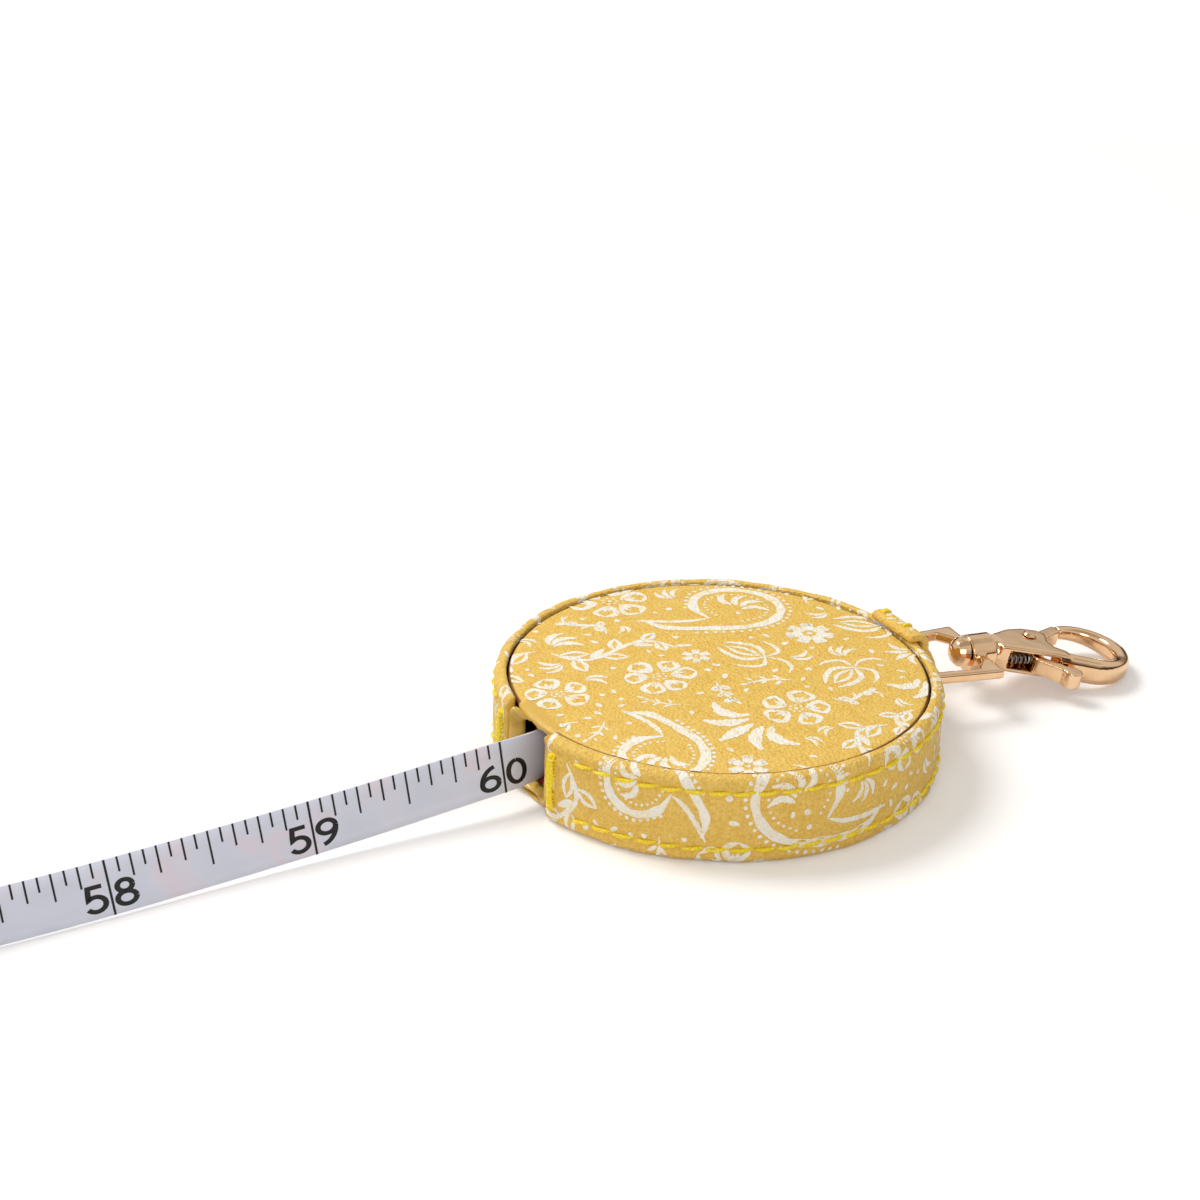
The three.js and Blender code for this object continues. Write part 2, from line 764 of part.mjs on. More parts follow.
// The tab is a folded steel clip over the tape's end. It holds the tape with one rivet.
function endTab() {
  const group = new THREE.Group();
  const points = coilPoints(coilRadius());
  const end = points[points.length - 1];
  group.position.copy(end);
  group.rotation.z = Math.PI - coilEndAngle;
  const half = tapeThickness / 2 + fit + tabWall;
  const bottom = 0;
  const top = tapeWidth;
  const tab = box([-tabOverlap, -half, bottom], [tabLength - tabOverlap, half, top]);
  const mouthHalf = half - tabWall;
  const mouth = box(
    [-tabOverlap - overrun, -mouthHalf, bottom - overrun],
    [tapeStart, mouthHalf, top + overrun],
  );
  const rivetX = tabLength - tabOverlap - tabRivetRadius * 2;
  const hole = new THREE.CylinderGeometry(
    tabRivetRadius / 2 + fit,
    tabRivetRadius / 2 + fit,
    half * 2 + overrun * 2,
    smallSteps / 2,
  ).translate(rivetX, 0, top / 2);
  const clip = solidOf(tab).subtract(solidOf(mouth)).subtract(solidOf(hole));
  const shank = new THREE.CylinderGeometry(
    tabRivetRadius / 2,
    tabRivetRadius / 2,
    half * 2 + fit * 2,
    smallSteps / 2,
  ).translate(rivetX, 0, top / 2);
  const head = (side) =>
    new THREE.CylinderGeometry(
      side < 0 ? tabRivetRadius : tabRivetRadius / 2,
      side < 0 ? tabRivetRadius / 2 : tabRivetRadius,
      tabRivetHead,
      smallSteps / 2,
    ).translate(rivetX, side * (half + fit + tabRivetHead / 2), top / 2);
  const rivet = solidOf(shank).add(solidOf(head(-1))).add(solidOf(head(1)));
  group.add(mesh("tape_end_tab", geometryOf(clip), steelFinish));
  group.add(mesh("tape_tab_rivet", geometryOf(rivet), steelFinish));
  return group;
}

// Strap

function strapTab() {
  const over = caseHeight + fit;
  const side = caseRadius + fit;
  const thick = strapLayer * 2;
  const inner = ringSection / 2 + barPlay;
  const outer = inner + strapLayer;
  const join = (over + barZ) / 2;
  const shape = new THREE.Shape();
  const root = caseRadius - strapRoot;
  shape.moveTo(root, over);
  shape.lineTo(side - strapBend, over);
  shape.absarc(side - strapBend, over - strapBend, strapBend, Math.PI / 2, 0, true);
  shape.lineTo(side, join);
  shape.lineTo(barX - outer, barZ);
  shape.absarc(barX, barZ, outer, Math.PI, 2 * Math.PI, false);
  shape.quadraticCurveTo(barX + outer, join, side + thick, over - strapBend * 2);
  shape.lineTo(side + thick, over - strapBend);
  shape.absarc(side - strapBend, over - strapBend, strapBend + thick, 0, Math.PI / 2, false);
  shape.lineTo(root + strapLayer, over + thick);
  shape.absarc(root + strapLayer, over + strapLayer, strapLayer, Math.PI / 2, Math.PI, false);
  const hole = new THREE.Path();
  hole.absarc(barX, barZ, inner, loopMouthFrom, loopMouthTo, true);
  hole.lineTo(side + strapLayer, join + strapLayer);
  shape.holes.push(hole);
  const geometry = new THREE.ExtrudeGeometry(shape, {
    depth: strapWidth,
    bevelEnabled: false,
    curveSegments: 8,
  });
  geometry.rotateX(Math.PI / 2).translate(0, strapWidth / 2 + strapOffset, 0);
  turnWithBar(geometry.getAttribute("position"), join, over - strapBend * 2);
  return mesh("strap_tab", geometry, leatherFinish);
}

// Below the given heights the soft strap turns with the bar that it holds.
function turnWithBar(places, full, none) {
  const slope = Math.tan(THREE.MathUtils.degToRad(chainYaw));
  for (let i = 0; i < places.count; i += 1) {
    const follow = 1 - THREE.MathUtils.smoothstep(places.getZ(i), full, none);
    places.setX(i, places.getX(i) + follow * slope * places.getY(i));
  }
}

// Ring and snap hook. Local x runs along the chain and local y along the ring's bar.

// Half the distance between the middles of the ring's arms, which spread from the bar towards the boss.
function armSpread(x) {
  return (ringBarSpacing + ((ringBossSpacing - ringBarSpacing) * x) / ringLength) / 2;
}

// Outline of the ring or of its window. The far corners are the points on the +Y side of its far end.
function ringOutline(path, low, grow, radius, farCorners) {
  const half = (x) => armSpread(x) + grow;
  const mirrored = farCorners.map(([x, y]) => [x, -y]).reverse();
  const [startX, startY] = mirrored[0];
  path.moveTo(startX, startY);
  [...mirrored.slice(1), ...farCorners].forEach(([x, y]) => path.lineTo(x, y));
  path.lineTo(low + radius, half(low + radius));
  path.quadraticCurveTo(low, half(low), low, half(low) - radius);
  path.lineTo(low, radius - half(low));
  path.quadraticCurveTo(low, -half(low), low + radius, -half(low + radius));
  path.lineTo(startX, startY);
  return path;
}

function alongX(radius, low, high, steps) {
  const made = new THREE.CylinderGeometry(radius, radius, high - low, steps);
  return made.rotateZ(Math.PI / 2).translate((low + high) / 2, 0, 0);
}

function ringFrame() {
  const half = ringSection / 2 - ringBevel;
  const inner = ringCornerRadius - half;
  const outerEnd = ringLength + half;
  const windowEnd = ringLength - half;
  const gussetStart = windowEnd - gussetReach;
  const outerCorners = [[outerEnd, armSpread(outerEnd) + half]];
  const windowCorners = [
    [windowEnd, armSpread(windowEnd) - half - gussetSpan],
    [gussetStart, armSpread(gussetStart) - half],
  ];
  const shape = ringOutline(new THREE.Shape(), -half, half, ringCornerRadius, outerCorners);
  shape.holes.push(ringOutline(new THREE.Path(), half, -half, inner, windowCorners));
  const frame = new THREE.ExtrudeGeometry(shape, {
    depth: ringSection - 2 * ringBevel,
    bevelThickness: ringBevel,
    bevelSize: ringBevel,
    bevelSegments: 2,
    curveSegments: 5,
  });
  frame.translate(0, 0, ringBevel - ringSection / 2);
  const near = bossMiddle - bossLength / 2;
  const far = bossMiddle + bossLength / 2;
  const boss = alongX(bossRadius, near, far, smallSteps);
  const bore = alongX(postShankRadius + postShankGap, near - overrun, far + overrun, smallSteps);
  const ring = solidOf(frame).add(solidOf(boss)).subtract(solidOf(bore));
  return mesh("hook_ring", geometryOf(ring), goldFinish);
}

function turnedAlongX(profile, steps) {
  return revolve(profile, steps).rotateY(Math.PI / 2);
}

// Places along the hook's own axis, counted from the middle of the ring's boss.
const collarStart = bossLength / 2 + postEndPlay;
const collarEnd = collarStart + collarLength;

function swivelPost() {
  const headEnd = -collarStart;
  const domeSteps = 4;
  const dome = Array.from({ length: domeSteps }, (_, i) => {
    const angle = (Math.PI / 2) * (i / domeSteps);
    return [postHeadRadius * Math.sin(angle), headEnd - postHeadLength * Math.cos(angle)];
  });
  const profile = [
    ...dome,
    [postHeadRadius, headEnd],
    [postShankRadius, headEnd],
    [postShankRadius, collarEnd - fit],
    [0, collarEnd - fit],
  ];
  return mesh("swivel_post", turnedAlongX(profile, smallSteps), goldFinish);
}

// Outline of the hook's head in the plane of the hook, as shares of its reach and of the nose's half
// width. It starts at the neck's near side and runs round counterclockwise.
const headOutlineShares = [
  [0.15, -0.33],
  [0.29, -0.455],
  [0.575, -0.71],
  [0.69, -0.86],
  [0.72, -0.52],
  [0.645, -0.32],
  [0.632, -0.07],
  [0.665, 0.16],
  [0.68, 0.36],
  [0.62, 0.54],
  [0.494, 0.63],
  [0.345, 0.58],
  [0.21, 0.4],
  [0.15, 0.31],
];

// Outline of the space between the head's two plates, where the lever swings. It starts behind the neck.
const cavityOutlineShares = [
  [0.61, -2],
  [0.61, -0.4],
  [0.72, -0.1],
  [0.92, -0.1],
  [0.92, 1.1],
  [0.55, 1.1],
  [0.5, 0.56],
  [0.38, 0.4],
];

// Places of the lever's rivet, knee and thumb piece, as shares of the hook's reach and of the nose's half
// width.
const leverShares = [
  [0.503, 0.218],
  [0.45, -0.655],
  [0.637, -1.273],
];
const [[leverX, leverY], [kneeX, kneeY], [thumbX, thumbY]] = hookPoints(leverShares);

function plateOf(points, thickness, bevel) {
  const shape = new THREE.Shape(points.map(([x, y]) => new THREE.Vector2(x, y)));
  const geometry = new THREE.ExtrudeGeometry(shape, {
    depth: thickness - 2 * bevel,
    bevelEnabled: bevel > 0,
    bevelThickness: bevel,
    bevelSize: bevel,
    bevelOffset: -bevel,
    bevelSegments: 2,
  });
  return geometry.translate(0, 0, bevel - thickness / 2);
}

function hookPoints(shares) {
  return shares.map(([x, y]) => [x * hookReach, y * noseHalfWidth]);
}

// Where the spine starts inside the head, as shares of the hook's reach and of the nose's half width.
const spineStartShares = [
  [0.64, -0.62],
  [0.78, -0.8],
];

// The spine and the nose are one swept bar that thins towards the tip.
function noseLoop() {
  const open = THREE.MathUtils.degToRad(180 - noseOpening);
  const centres = hookPoints(spineStartShares).map(([x, y]) => new THREE.Vector3(x, y, 0));
  for (let i = 0; i <= noseSteps; i += 1) {
    const angle = open * ((2 * i) / noseSteps - 1);
    const x = hookReach + noseLength * Math.cos(angle);
    centres.push(new THREE.Vector3(x, noseHalfWidth * Math.sin(angle), 0));
  }
  const rings = centres.map((centre, i) => {
    const before = centres[Math.max(i - 1, 0)];
    const after = centres[Math.min(i + 1, centres.length - 1)];
    const travel = after.clone().sub(before).normalize();
    const out = new THREE.Vector3(travel.y, -travel.x, 0);
    return barRing(centre, out, i / (centres.length - 1));
  });
  return tubeOf(rings);
}

// One cross-section of the bar: square with round corners at the spine, rounder at the tip.
function barRing(centre, out, share) {
  const thinning = Math.max(0, share - 1 / 2) * 2;
  const rootHeight = headThickness + (hookThickness - headThickness) * Math.min(1, share * 3);
  const width = spineSection + (tipSection - spineSection) * thinning;
  const height = rootHeight + (tipSection - rootHeight) * thinning;
  const squareness = (value) => Math.sign(value) * Math.abs(value) ** (2 / 3);
  return Array.from({ length: noseSides }, (_, j) => {
    const turn = (-2 * Math.PI * (j + 1 / 2)) / noseSides;
    const point = centre.clone().addScaledVector(out, (width / 2) * squareness(Math.cos(turn)));
    return point.setZ((height / 2) * squareness(Math.sin(turn)));
  });
}

function hookCollar() {
  const neckEnd = collarEnd + neckWall;
  const neckRadius = headThickness / 2 - hookBevel;
  const collar = turnedAlongX(
    [
      [0, collarStart],
      [collarRadius - collarRound, collarStart],
      [collarRadius, collarStart + collarRound],
      [collarRadius, collarEnd - collarRound],
      [neckRadius, collarEnd],
      [neckRadius, neckEnd],
      [0, neckEnd],
    ],
    smallSteps,
  );
  return solidOf(collar);
}

function hookBody() {
  const neckEnd = collarEnd + neckWall;
  const cavityOutline = [
    [neckEnd, leverY],
    [neckEnd, -2 * noseHalfWidth],
    ...hookPoints(cavityOutlineShares),
  ];
  const cavity = plateOf(cavityOutline, leverThickness + 2 * leverGap, 0);
  const bore = alongX(postShankRadius + postShankGap, collarStart - overrun, collarEnd, smallSteps);
  const hole = cylinder(
    rivetRadius + fit,
    -headThickness,
    headThickness,
    smallSteps / 2,
    leverX,
    leverY,
  );
  const solid = solidOf(plateOf(hookPoints(headOutlineShares), headThickness, hookBevel))
    .add(hookCollar())
    .subtract(solidOf(cavity))
    .subtract(solidOf(bore))
    .add(solidOf(noseLoop()))
    .subtract(solidOf(hole));
  return mesh("hook_body", geometryOf(solid), goldFinish);
}

// A flat arm of the lever between two points of the hook's plane.
function leverArm(from, to, startWidth, endWidth) {
  const along = new THREE.Vector2(to[0] - from[0], to[1] - from[1]).normalize();
  const side = new THREE.Vector2(-along.y, along.x);
  const corner = (point, width) => [point[0] + side.x * width, point[1] + side.y * width];
  const outline = [
    corner(from, -startWidth / 2),
    corner(to, -endWidth / 2),
    corner(to, endWidth / 2),
    corner(from, startWidth / 2),
  ];
  return solidOf(plateOf(outline, leverThickness, 0));
}

// The lever is the gate on one side of its rivet and the thumb piece on the other.
function triggerLever() {
  const tipAngle = THREE.MathUtils.degToRad(180 - noseOpening);
  const tip = [
    hookReach + noseLength * Math.cos(tipAngle) - gateGap,
    noseHalfWidth * Math.sin(tipAngle) - (gateWidth - gateTipWidth),
  ];
  const half = leverThickness / 2;
  const disc = (radius, x, y, reach) => cylinder(radius, -reach, reach, smallSteps, x, y);
  const pivot = [leverX, leverY];
  const knee = [kneeX, kneeY];
  const lever = solidOf(disc(leverHubRadius, leverX, leverY, half))
    .add(leverArm(pivot, tip, gateWidth, gateTipWidth))
    .add(leverArm(pivot, knee, thumbArmWidth, thumbArmWidth))
    .add(solidOf(disc(thumbArmWidth / 2, kneeX, kneeY, half)))
    .add(leverArm(knee, [thumbX, thumbY], thumbArmWidth, thumbRadius))
    .add(solidOf(disc(thumbRadius, thumbX, thumbY, half)))
    .subtract(solidOf(disc(rivetRadius + fit, leverX, leverY, half + overrun)));
  return mesh("trigger_lever", geometryOf(lever), goldFinish);
}

function leverRivet() {
  const reach = headThickness / 2 + fit;
  const profile = [
    [0, -reach - rivetHeadHeight],
    [rivetHeadFlat, -reach - rivetHeadHeight],
    [rivetHeadRadius, -reach],
    [rivetRadius, -reach],
    [rivetRadius, reach],
    [rivetHeadRadius, reach],
    [rivetHeadFlat, reach + rivetHeadHeight],
    [0, reach + rivetHeadHeight],
  ];
  const geometry = revolve(profile, smallSteps / 2).translate(leverX, leverY, 0);
  return mesh("lever_rivet", geometry, goldFinish);
}

// The trigger's return spring lies between the neck and the thumb arm.
function triggerSpring() {
  const start = collarEnd + neckWall + fit;
  const share = (triggerSpringY - leverY) / (kneeY - leverY);
  const end = leverX + (kneeX - leverX) * share - thumbArmWidth / 2 - fit * 2;
  const geometry = springOf(triggerSpringRadius, triggerSpringWire, triggerSpringTurns, start, end);
  geometry.rotateY(Math.PI / 2).translate(0, triggerSpringY, 0);
  return mesh("trigger_spring", geometry, steelFinish);
}

function hookAssembly() {
  const hook = new THREE.Group();
  hook.position.x = bossMiddle;
  hook.rotation.order = "YXZ";
  hook.rotation.y = THREE.MathUtils.degToRad(hookSlope - ringSlope);
  hook.rotation.x = THREE.MathUtils.degToRad(hookRoll);
  hook.add(swivelPost(), hookBody(), triggerLever(), leverRivet(), triggerSpring());
  const chain = new THREE.Group();
  chain.position.set(barX, barShift, barZ);
  chain.rotation.order = "ZYX";
  chain.rotation.z = -THREE.MathUtils.degToRad(chainYaw);
  chain.rotation.y = THREE.MathUtils.degToRad(ringSlope);
  chain.add(ringFrame(), hook);
  return chain;
}

const part = new THREE.Group();
part.add(sideBand(), cover("top_cover", coverBottom, coverEdgeTop, 1));
part.add(cover("bottom_cover", 0, coverThickness, 0), topPad(), slotLining());
part.add(upperShell(), lowerShell(), spool(), mainspring());
part.add(pushButton(), brakeWasher(), buttonSpring());
part.add(tapeWraps(), tapeRun(), tapeCoil(), endTab());
part.add(strapTab(), hookAssembly());

export default part;
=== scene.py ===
# A retractable sewing tape measure in a printed leather case, with its strap and snap hook.
# Metres in Blender; sizes written here in millimetres go through MM.
import math
import random

import bmesh
import bpy
import numpy as np
from mathutils import Matrix, Vector
from mathutils.bvhtree import BVHTree


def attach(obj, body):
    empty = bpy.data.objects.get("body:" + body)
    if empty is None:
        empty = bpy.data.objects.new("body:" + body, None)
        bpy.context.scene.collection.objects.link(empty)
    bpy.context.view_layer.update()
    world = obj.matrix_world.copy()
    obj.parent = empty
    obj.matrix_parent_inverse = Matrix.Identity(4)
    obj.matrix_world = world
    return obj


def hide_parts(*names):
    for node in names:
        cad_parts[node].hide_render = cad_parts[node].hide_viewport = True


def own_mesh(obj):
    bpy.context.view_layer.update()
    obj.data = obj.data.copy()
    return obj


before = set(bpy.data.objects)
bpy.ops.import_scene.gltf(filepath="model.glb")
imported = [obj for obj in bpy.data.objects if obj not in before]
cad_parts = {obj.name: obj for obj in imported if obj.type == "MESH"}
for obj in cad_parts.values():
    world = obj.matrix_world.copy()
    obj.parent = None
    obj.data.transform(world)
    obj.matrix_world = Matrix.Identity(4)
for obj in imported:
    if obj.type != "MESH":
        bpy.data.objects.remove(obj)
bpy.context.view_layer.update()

MM = 0.001

# Sizes of the case in millimetres, as in the CAD source
CASE_RADIUS = 28.0
CASE_HEIGHT = 11.5
BAND_LIFT = 0.1
BAND_ROUND = 1.1
LIP_EDGE = 26.5
LIP_ROUND = 0.3
LIP_DEPTH = 0.8
COVER_RADIUS = 26.3
COVER_TOP = 11.3
CROWN = 0.7
SLOT_HALF = 4.9
# Stitches, from the band's edge and from hole to hole, the print's lift and the grain's depth
STITCH_INSET = 1.9
STITCH_PITCH = 2.9
INK = 0.022
GRAIN_DEPTH = 0.2

# Small helpers

def smooth(low, high, value):
    """0 up to low, 1 from high on, and a soft ramp between them."""
    share = np.clip((value - low) / (high - low), 0.0, 1.0)
    return share * share * (3 - 2 * share)


def unit(rows):
    return rows / np.maximum(np.linalg.norm(rows, axis=1), 1e-9)[:, None]


def polar(radius, angle, x=0.0, y=0.0):
    """The point at a radius and an angle from x, y."""
    return x + radius * math.cos(angle), y + radius * math.sin(angle)


def new_object(name, data):
    made = bpy.data.objects.new(name, data)
    bpy.context.scene.collection.objects.link(made)
    return made


def on_body(piece, body, nodes):
    """The piece rides a CAD body and stands for CAD nodes, if any."""
    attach(piece, body)
    if nodes:
        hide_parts(*nodes)
    return piece


def add_mesh(name, points, faces, material, body, slot=None, nodes=(), rounded=True):
    """A mesh piece from points in millimetres."""
    data = bpy.data.meshes.new(name)
    data.from_pydata([tuple(p) for p in np.asarray(points, float) * MM], [], faces)
    data.validate()
    data.update()
    if rounded:
        data.polygons.foreach_set("use_smooth", [True] * len(data.polygons))
    data.materials.append(material)
    return on_body(new_object(name, data), body, nodes)


def grid_faces(rows, columns, closed_rows=False, closed_columns=False):
    faces = []
    for i in range(rows if closed_rows else rows - 1):
        for j in range(columns if closed_columns else columns - 1):
            near, far = i * columns, (i + 1) % rows * columns
            after = (j + 1) % columns
            faces.append((near + j, near + after, far + after, far + j))
    return faces


def tube_faces(rows, columns):
    """A tube with a flat cap at each end."""
    caps = [tuple(range(columns))[::-1], tuple(range((rows - 1) * columns, rows * columns))]
    return grid_faces(rows, columns, closed_columns=True) + caps


def fix_normals(piece):
    mesh = bmesh.new()
    mesh.from_mesh(piece.data)
    bmesh.ops.recalc_face_normals(mesh, faces=mesh.faces)
    mesh.to_mesh(piece.data)
    mesh.free()


def catmull(points, steps):
    """Centripetal spline through points, the same that the CAD source draws."""
    pts = [np.asarray(p, float) for p in points]
    pts = [2 * pts[0] - pts[1], *pts, 2 * pts[-1] - pts[-2]]
    out = []
    for i in range(1, len(pts) - 2):
        p0, p1, p2, p3 = pts[i - 1:i + 3]
        d0, d1, d2 = [max(np.linalg.norm(b - a) ** 0.5, 1e-4) for a, b in ((p0, p1), (p1, p2), (p2, p3))]
        t1 = (p1 - p0) / d0 - (p2 - p0) / (d0 + d1) + (p2 - p1) / d1
        t2 = (p2 - p1) / d1 - (p3 - p1) / (d1 + d2) + (p3 - p2) / d2
        t1, t2 = t1 * d1, t2 * d1
        for k in range(steps):
            u = k / steps
            a = 2 * u ** 3 - 3 * u ** 2 + 1
            b = u ** 3 - 2 * u ** 2 + u
            c = -2 * u ** 3 + 3 * u ** 2
            d = u ** 3 - u ** 2
            out.append(a * p1 + b * t1 + c * p2 + d * t2)
    out.append(pts[-2])
    return np.array(out)


def lengths_along(line):
    return np.r_[0, np.cumsum(np.linalg.norm(np.diff(line, axis=0), axis=1))]


def resample(points, step):
    """The same line in even steps, and each new point's length along it."""
    pts = np.asarray(points, float)
    lengths = lengths_along(pts)
    count = max(2, int(math.ceil(lengths[-1] / step)) + 1)
    at = np.linspace(0, lengths[-1], count)
    return np.stack([np.interp(at, lengths, pts[:, k]) for k in range(pts.shape[1])], 1), at


# Materials

def linear(hex_colour):
    """sRGB hex to the linear colour that a shader takes."""
    parts = [int(hex_colour[i:i + 2], 16) / 255 for i in (1, 3, 5)]
    return tuple(p / 12.92 if p <= 0.04045 else ((p + 0.055) / 1.055) ** 2.4 for p in parts) + (1.0,)


def fill(tree, node, inputs):
    """Sets or links inputs, each by its name with _ for a space, or by i and its number."""
    for key, value in inputs.items():
        numbered = key[0] == "i" and key[1:].isdigit()
        socket = node.inputs[int(key[1:]) if numbered else key.replace("_", " ")]
        if isinstance(value, bpy.types.NodeSocket):
            tree.links.new(value, socket)
        else:
            socket.default_value = value


def add(tree, kind, settings=None, **inputs):
    """One node with its settings, its values and its links."""
    node = tree.nodes.new(kind)
    for key, value in (settings or {}).items():
        setattr(node, key, value)
    fill(tree, node, inputs)
    return node


def new_material(name, **inputs):
    material = bpy.data.materials.new(name)
    material.use_nodes = True
    shader = material.node_tree.nodes["Principled BSDF"]
    fill(material.node_tree, shader, inputs)
    return material, material.node_tree, shader


def ramp(tree, factor, *stops):
    node = add(tree, "ShaderNodeValToRGB", Fac=factor)
    elements = node.color_ramp.elements
    while len(elements) < len(stops):
        elements.new(0.5)
    for element, (position, colour) in zip(elements, stops):
        element.position = position
        element.color = linear(colour)
    return node.outputs["Color"]


def place(tree):
    """Where the point is on the object, in metres."""
    return add(tree, "ShaderNodeTexCoord").outputs["Object"]


def noise(tree, where, per_mm, detail=2.0):
    """Soft noise with that many spots to a millimetre."""
    return add(tree, "ShaderNodeTexNoise", Vector=where, Scale=per_mm / MM, Detail=detail).outputs["Fac"]


def times_plus(tree, value, weight, rest):
    """value * weight + rest"""
    settings = {"operation": "MULTIPLY_ADD"}
    return add(tree, "ShaderNodeMath", settings, i0=value, i1=weight, i2=rest).outputs[0]


def mapped(tree, value, **limits):
    return add(tree, "ShaderNodeMapRange", Value=value, **limits).outputs["Result"]


def mixed(tree, share, colour, other):
    """A colour that gives way to another, in hex, as share goes to 1."""
    node = add(tree, "ShaderNodeMix", {"data_type": "RGBA"}, Factor=share)
    fill(tree, node, {"A": colour, "B": linear(other)})
    return node.outputs["Result"]


def attribute(tree, name):
    return add(tree, "ShaderNodeAttribute", {"attribute_name": name}).outputs["Fac"]


def bump(tree, height, depth_mm, strength=1.0):
    node = add(tree, "ShaderNodeBump", Height=height, Distance=depth_mm * MM, Strength=strength)
    return node.outputs["Normal"]


def leather_grain(tree, where):
    """Pebbles 0.4 mm across with finer pores between them, as an embossing roller leaves on PU leather."""
    pebbles = add(tree, "ShaderNodeTexVoronoi", {"feature": "SMOOTH_F1"},
                  Vector=where, Scale=2.6 / MM, Smoothness=0.6).outputs["Distance"]
    pores = times_plus(tree, noise(tree, where, 5.2, 3.0), 0.45, times_plus(tree, pebbles, -1.0, 1.0))
    return times_plus(tree, noise(tree, where, 0.9), 0.6, pores)


def printed_leather():
    """PU leather, roller-printed and embossed: a warm yellow that mottles a little, with a soft low gloss.
    Where it is stretched over a fold it is smoother and glossier, and painted darker as shade of the fold; a
    brown line painted round the cover's rim is a painted shadow in the seam."""
    material, tree, shader = new_material("printed_pu_leather", Specular_IOR_Level=0.35)
    where = place(tree)
    grain = leather_grain(tree, where)
    mottle = times_plus(tree, noise(tree, where, 0.42, 3.0), 0.35, noise(tree, where, 3.4))
    worn = mapped(tree, times_plus(tree, grain, 0.55, mottle), From_Min=0.9, From_Max=1.78)
    stretch_and_shade = attribute(tree, "stretch_and_shade")
    colour = ramp(tree, worn, (0.1, "#e2b34c"), (0.5, "#edc561"), (0.9, "#f4d27b"))
    # Painted shade: where the leather is stretched over a fold into the slot it turns a darker yellow
    colour = mixed(tree, stretch_and_shade, colour, "#d8ad49")
    # Painted shadow: a brown line along the cover's rim, where the seam with the lip lies in shade
    colour = mixed(tree, attribute(tree, "seam_shadow"), colour, "#7d5524")
    raised = bump(tree, grain, GRAIN_DEPTH, mapped(tree, stretch_and_shade, To_Min=0.9, To_Max=0.25))
    rough = mapped(tree, stretch_and_shade, To_Min=0.58, To_Max=0.3)
    fill(tree, shader, {"Base_Color": colour, "Roughness": rough, "Normal": raised})
    return material


def leather_ink():
    """White printing ink on the leather: it keeps the grain, and lets a little of the yellow through."""
    material, tree, shader = new_material("white_leather_ink", Roughness=0.55)
    where = place(tree)
    cover = times_plus(tree, noise(tree, where, 3.4, 3.0), 0.8, noise(tree, where, 0.8))
    colour = ramp(tree, cover, (0.6, "#efd596"), (0.76, "#f6e9cb"), (0.95, "#f8f2e2"))
    raised = bump(tree, leather_grain(tree, where), GRAIN_DEPTH, 0.9)
    fill(tree, shader, {"Base_Color": colour, "Normal": raised})
    return material


def rose_gold():
    """Zinc casting, polished and plated in light rose gold: mirror-like, with a casting's faint waves."""
    material, tree, shader = new_material("rose_gold_plated_zinc", Metallic=1.0)
    where = place(tree)
    haze = noise(tree, where, 0.5, 3.0)
    colour = ramp(tree, haze, (0.3, "#f0c596"), (0.7, "#f6d1a8"))
    rough = mapped(tree, haze, From_Min=0.2, From_Max=0.8, To_Min=0.06, To_Max=0.14)
    wave = bump(tree, noise(tree, where, 0.26, 1.0), 0.12, 0.5)
    fill(tree, shader, {"Base_Color": colour, "Roughness": rough, "Normal": wave})
    return material


def plain(name, rough, per_mm, detail, stops, relief=None, **inputs):
    """A material of one stuff, coloured by a noise, with relief as (height, depth in mm, strength).
    The height is a function, or None for the noise of the colour."""
    material, tree, shader = new_material(name, Roughness=rough, **inputs)
    where = place(tree)
    spots = noise(tree, where, per_mm, detail)
    fill(tree, shader, {"Base_Color": ramp(tree, spots, *stops)})
    if relief:
        height, depth, strength = relief
        fill(tree, shader, {"Normal": bump(tree, height(tree, where) if height else spots, depth, strength)})
    return material


def weave(tree, where):
    return noise(tree, where, 2.6)


def spring_steel(name, dark, light, rough):
    """Bright steel strip or wire with a faint uneven polish."""
    return plain(name, rough, 2.2, 3.0, ((0.35, dark), (0.65, light)), (None, 0.01, 0.4), Metallic=1.0)


def moulded(name, dark, light, rough, grain_mm):
    """Moulded plastic, rubber or foam: even colour with a fine texture of the given size."""
    return plain(name, rough, 1 / grain_mm, 3.0, ((0.35, dark), (0.65, light)), (None, grain_mm / 12, 1.0))


LEATHER = printed_leather()
WHITE_INK = leather_ink()
ROSE_GOLD = rose_gold()
# The same sheet where it is stretched over a fold: smoother and glossier, with no print, and painted a darker
# yellow as shade of the slot that it lines
SHADED_VINYL = plain("stretched_vinyl_fold_painted_shade", 0.3, 0.42, 2.0, ((0.3, "#cfa440"), (0.55, "#dcb44f"), (0.8, "#e6c263")),
              (leather_grain, 0.02, 0.5), Coat_Weight=0.3, Coat_Roughness=0.2)
# Bright yellow polyester sewing thread, silky, with the fine unevenness of its strands
THREAD = plain("yellow_polyester_thread", 0.42, 4.2, 2.0,
               ((0.35, "#edca14"), (0.52, "#f7da22"), (0.72, "#fff06c")),
               (None, 0.04, 1.0), Specular_IOR_Level=0.35)
# Fibreglass tape coated with white vinyl: satin, a little cold, with faint warm patches
TAPE = plain("coated_fibreglass_tape", 0.34, 0.16, 1.0,
             ((0.3, "#d4d7e4"), (0.55, "#dadce9"), (0.68, "#e3d8e2"), (0.8, "#d8dae7")), (weave, 0.012, 0.5))
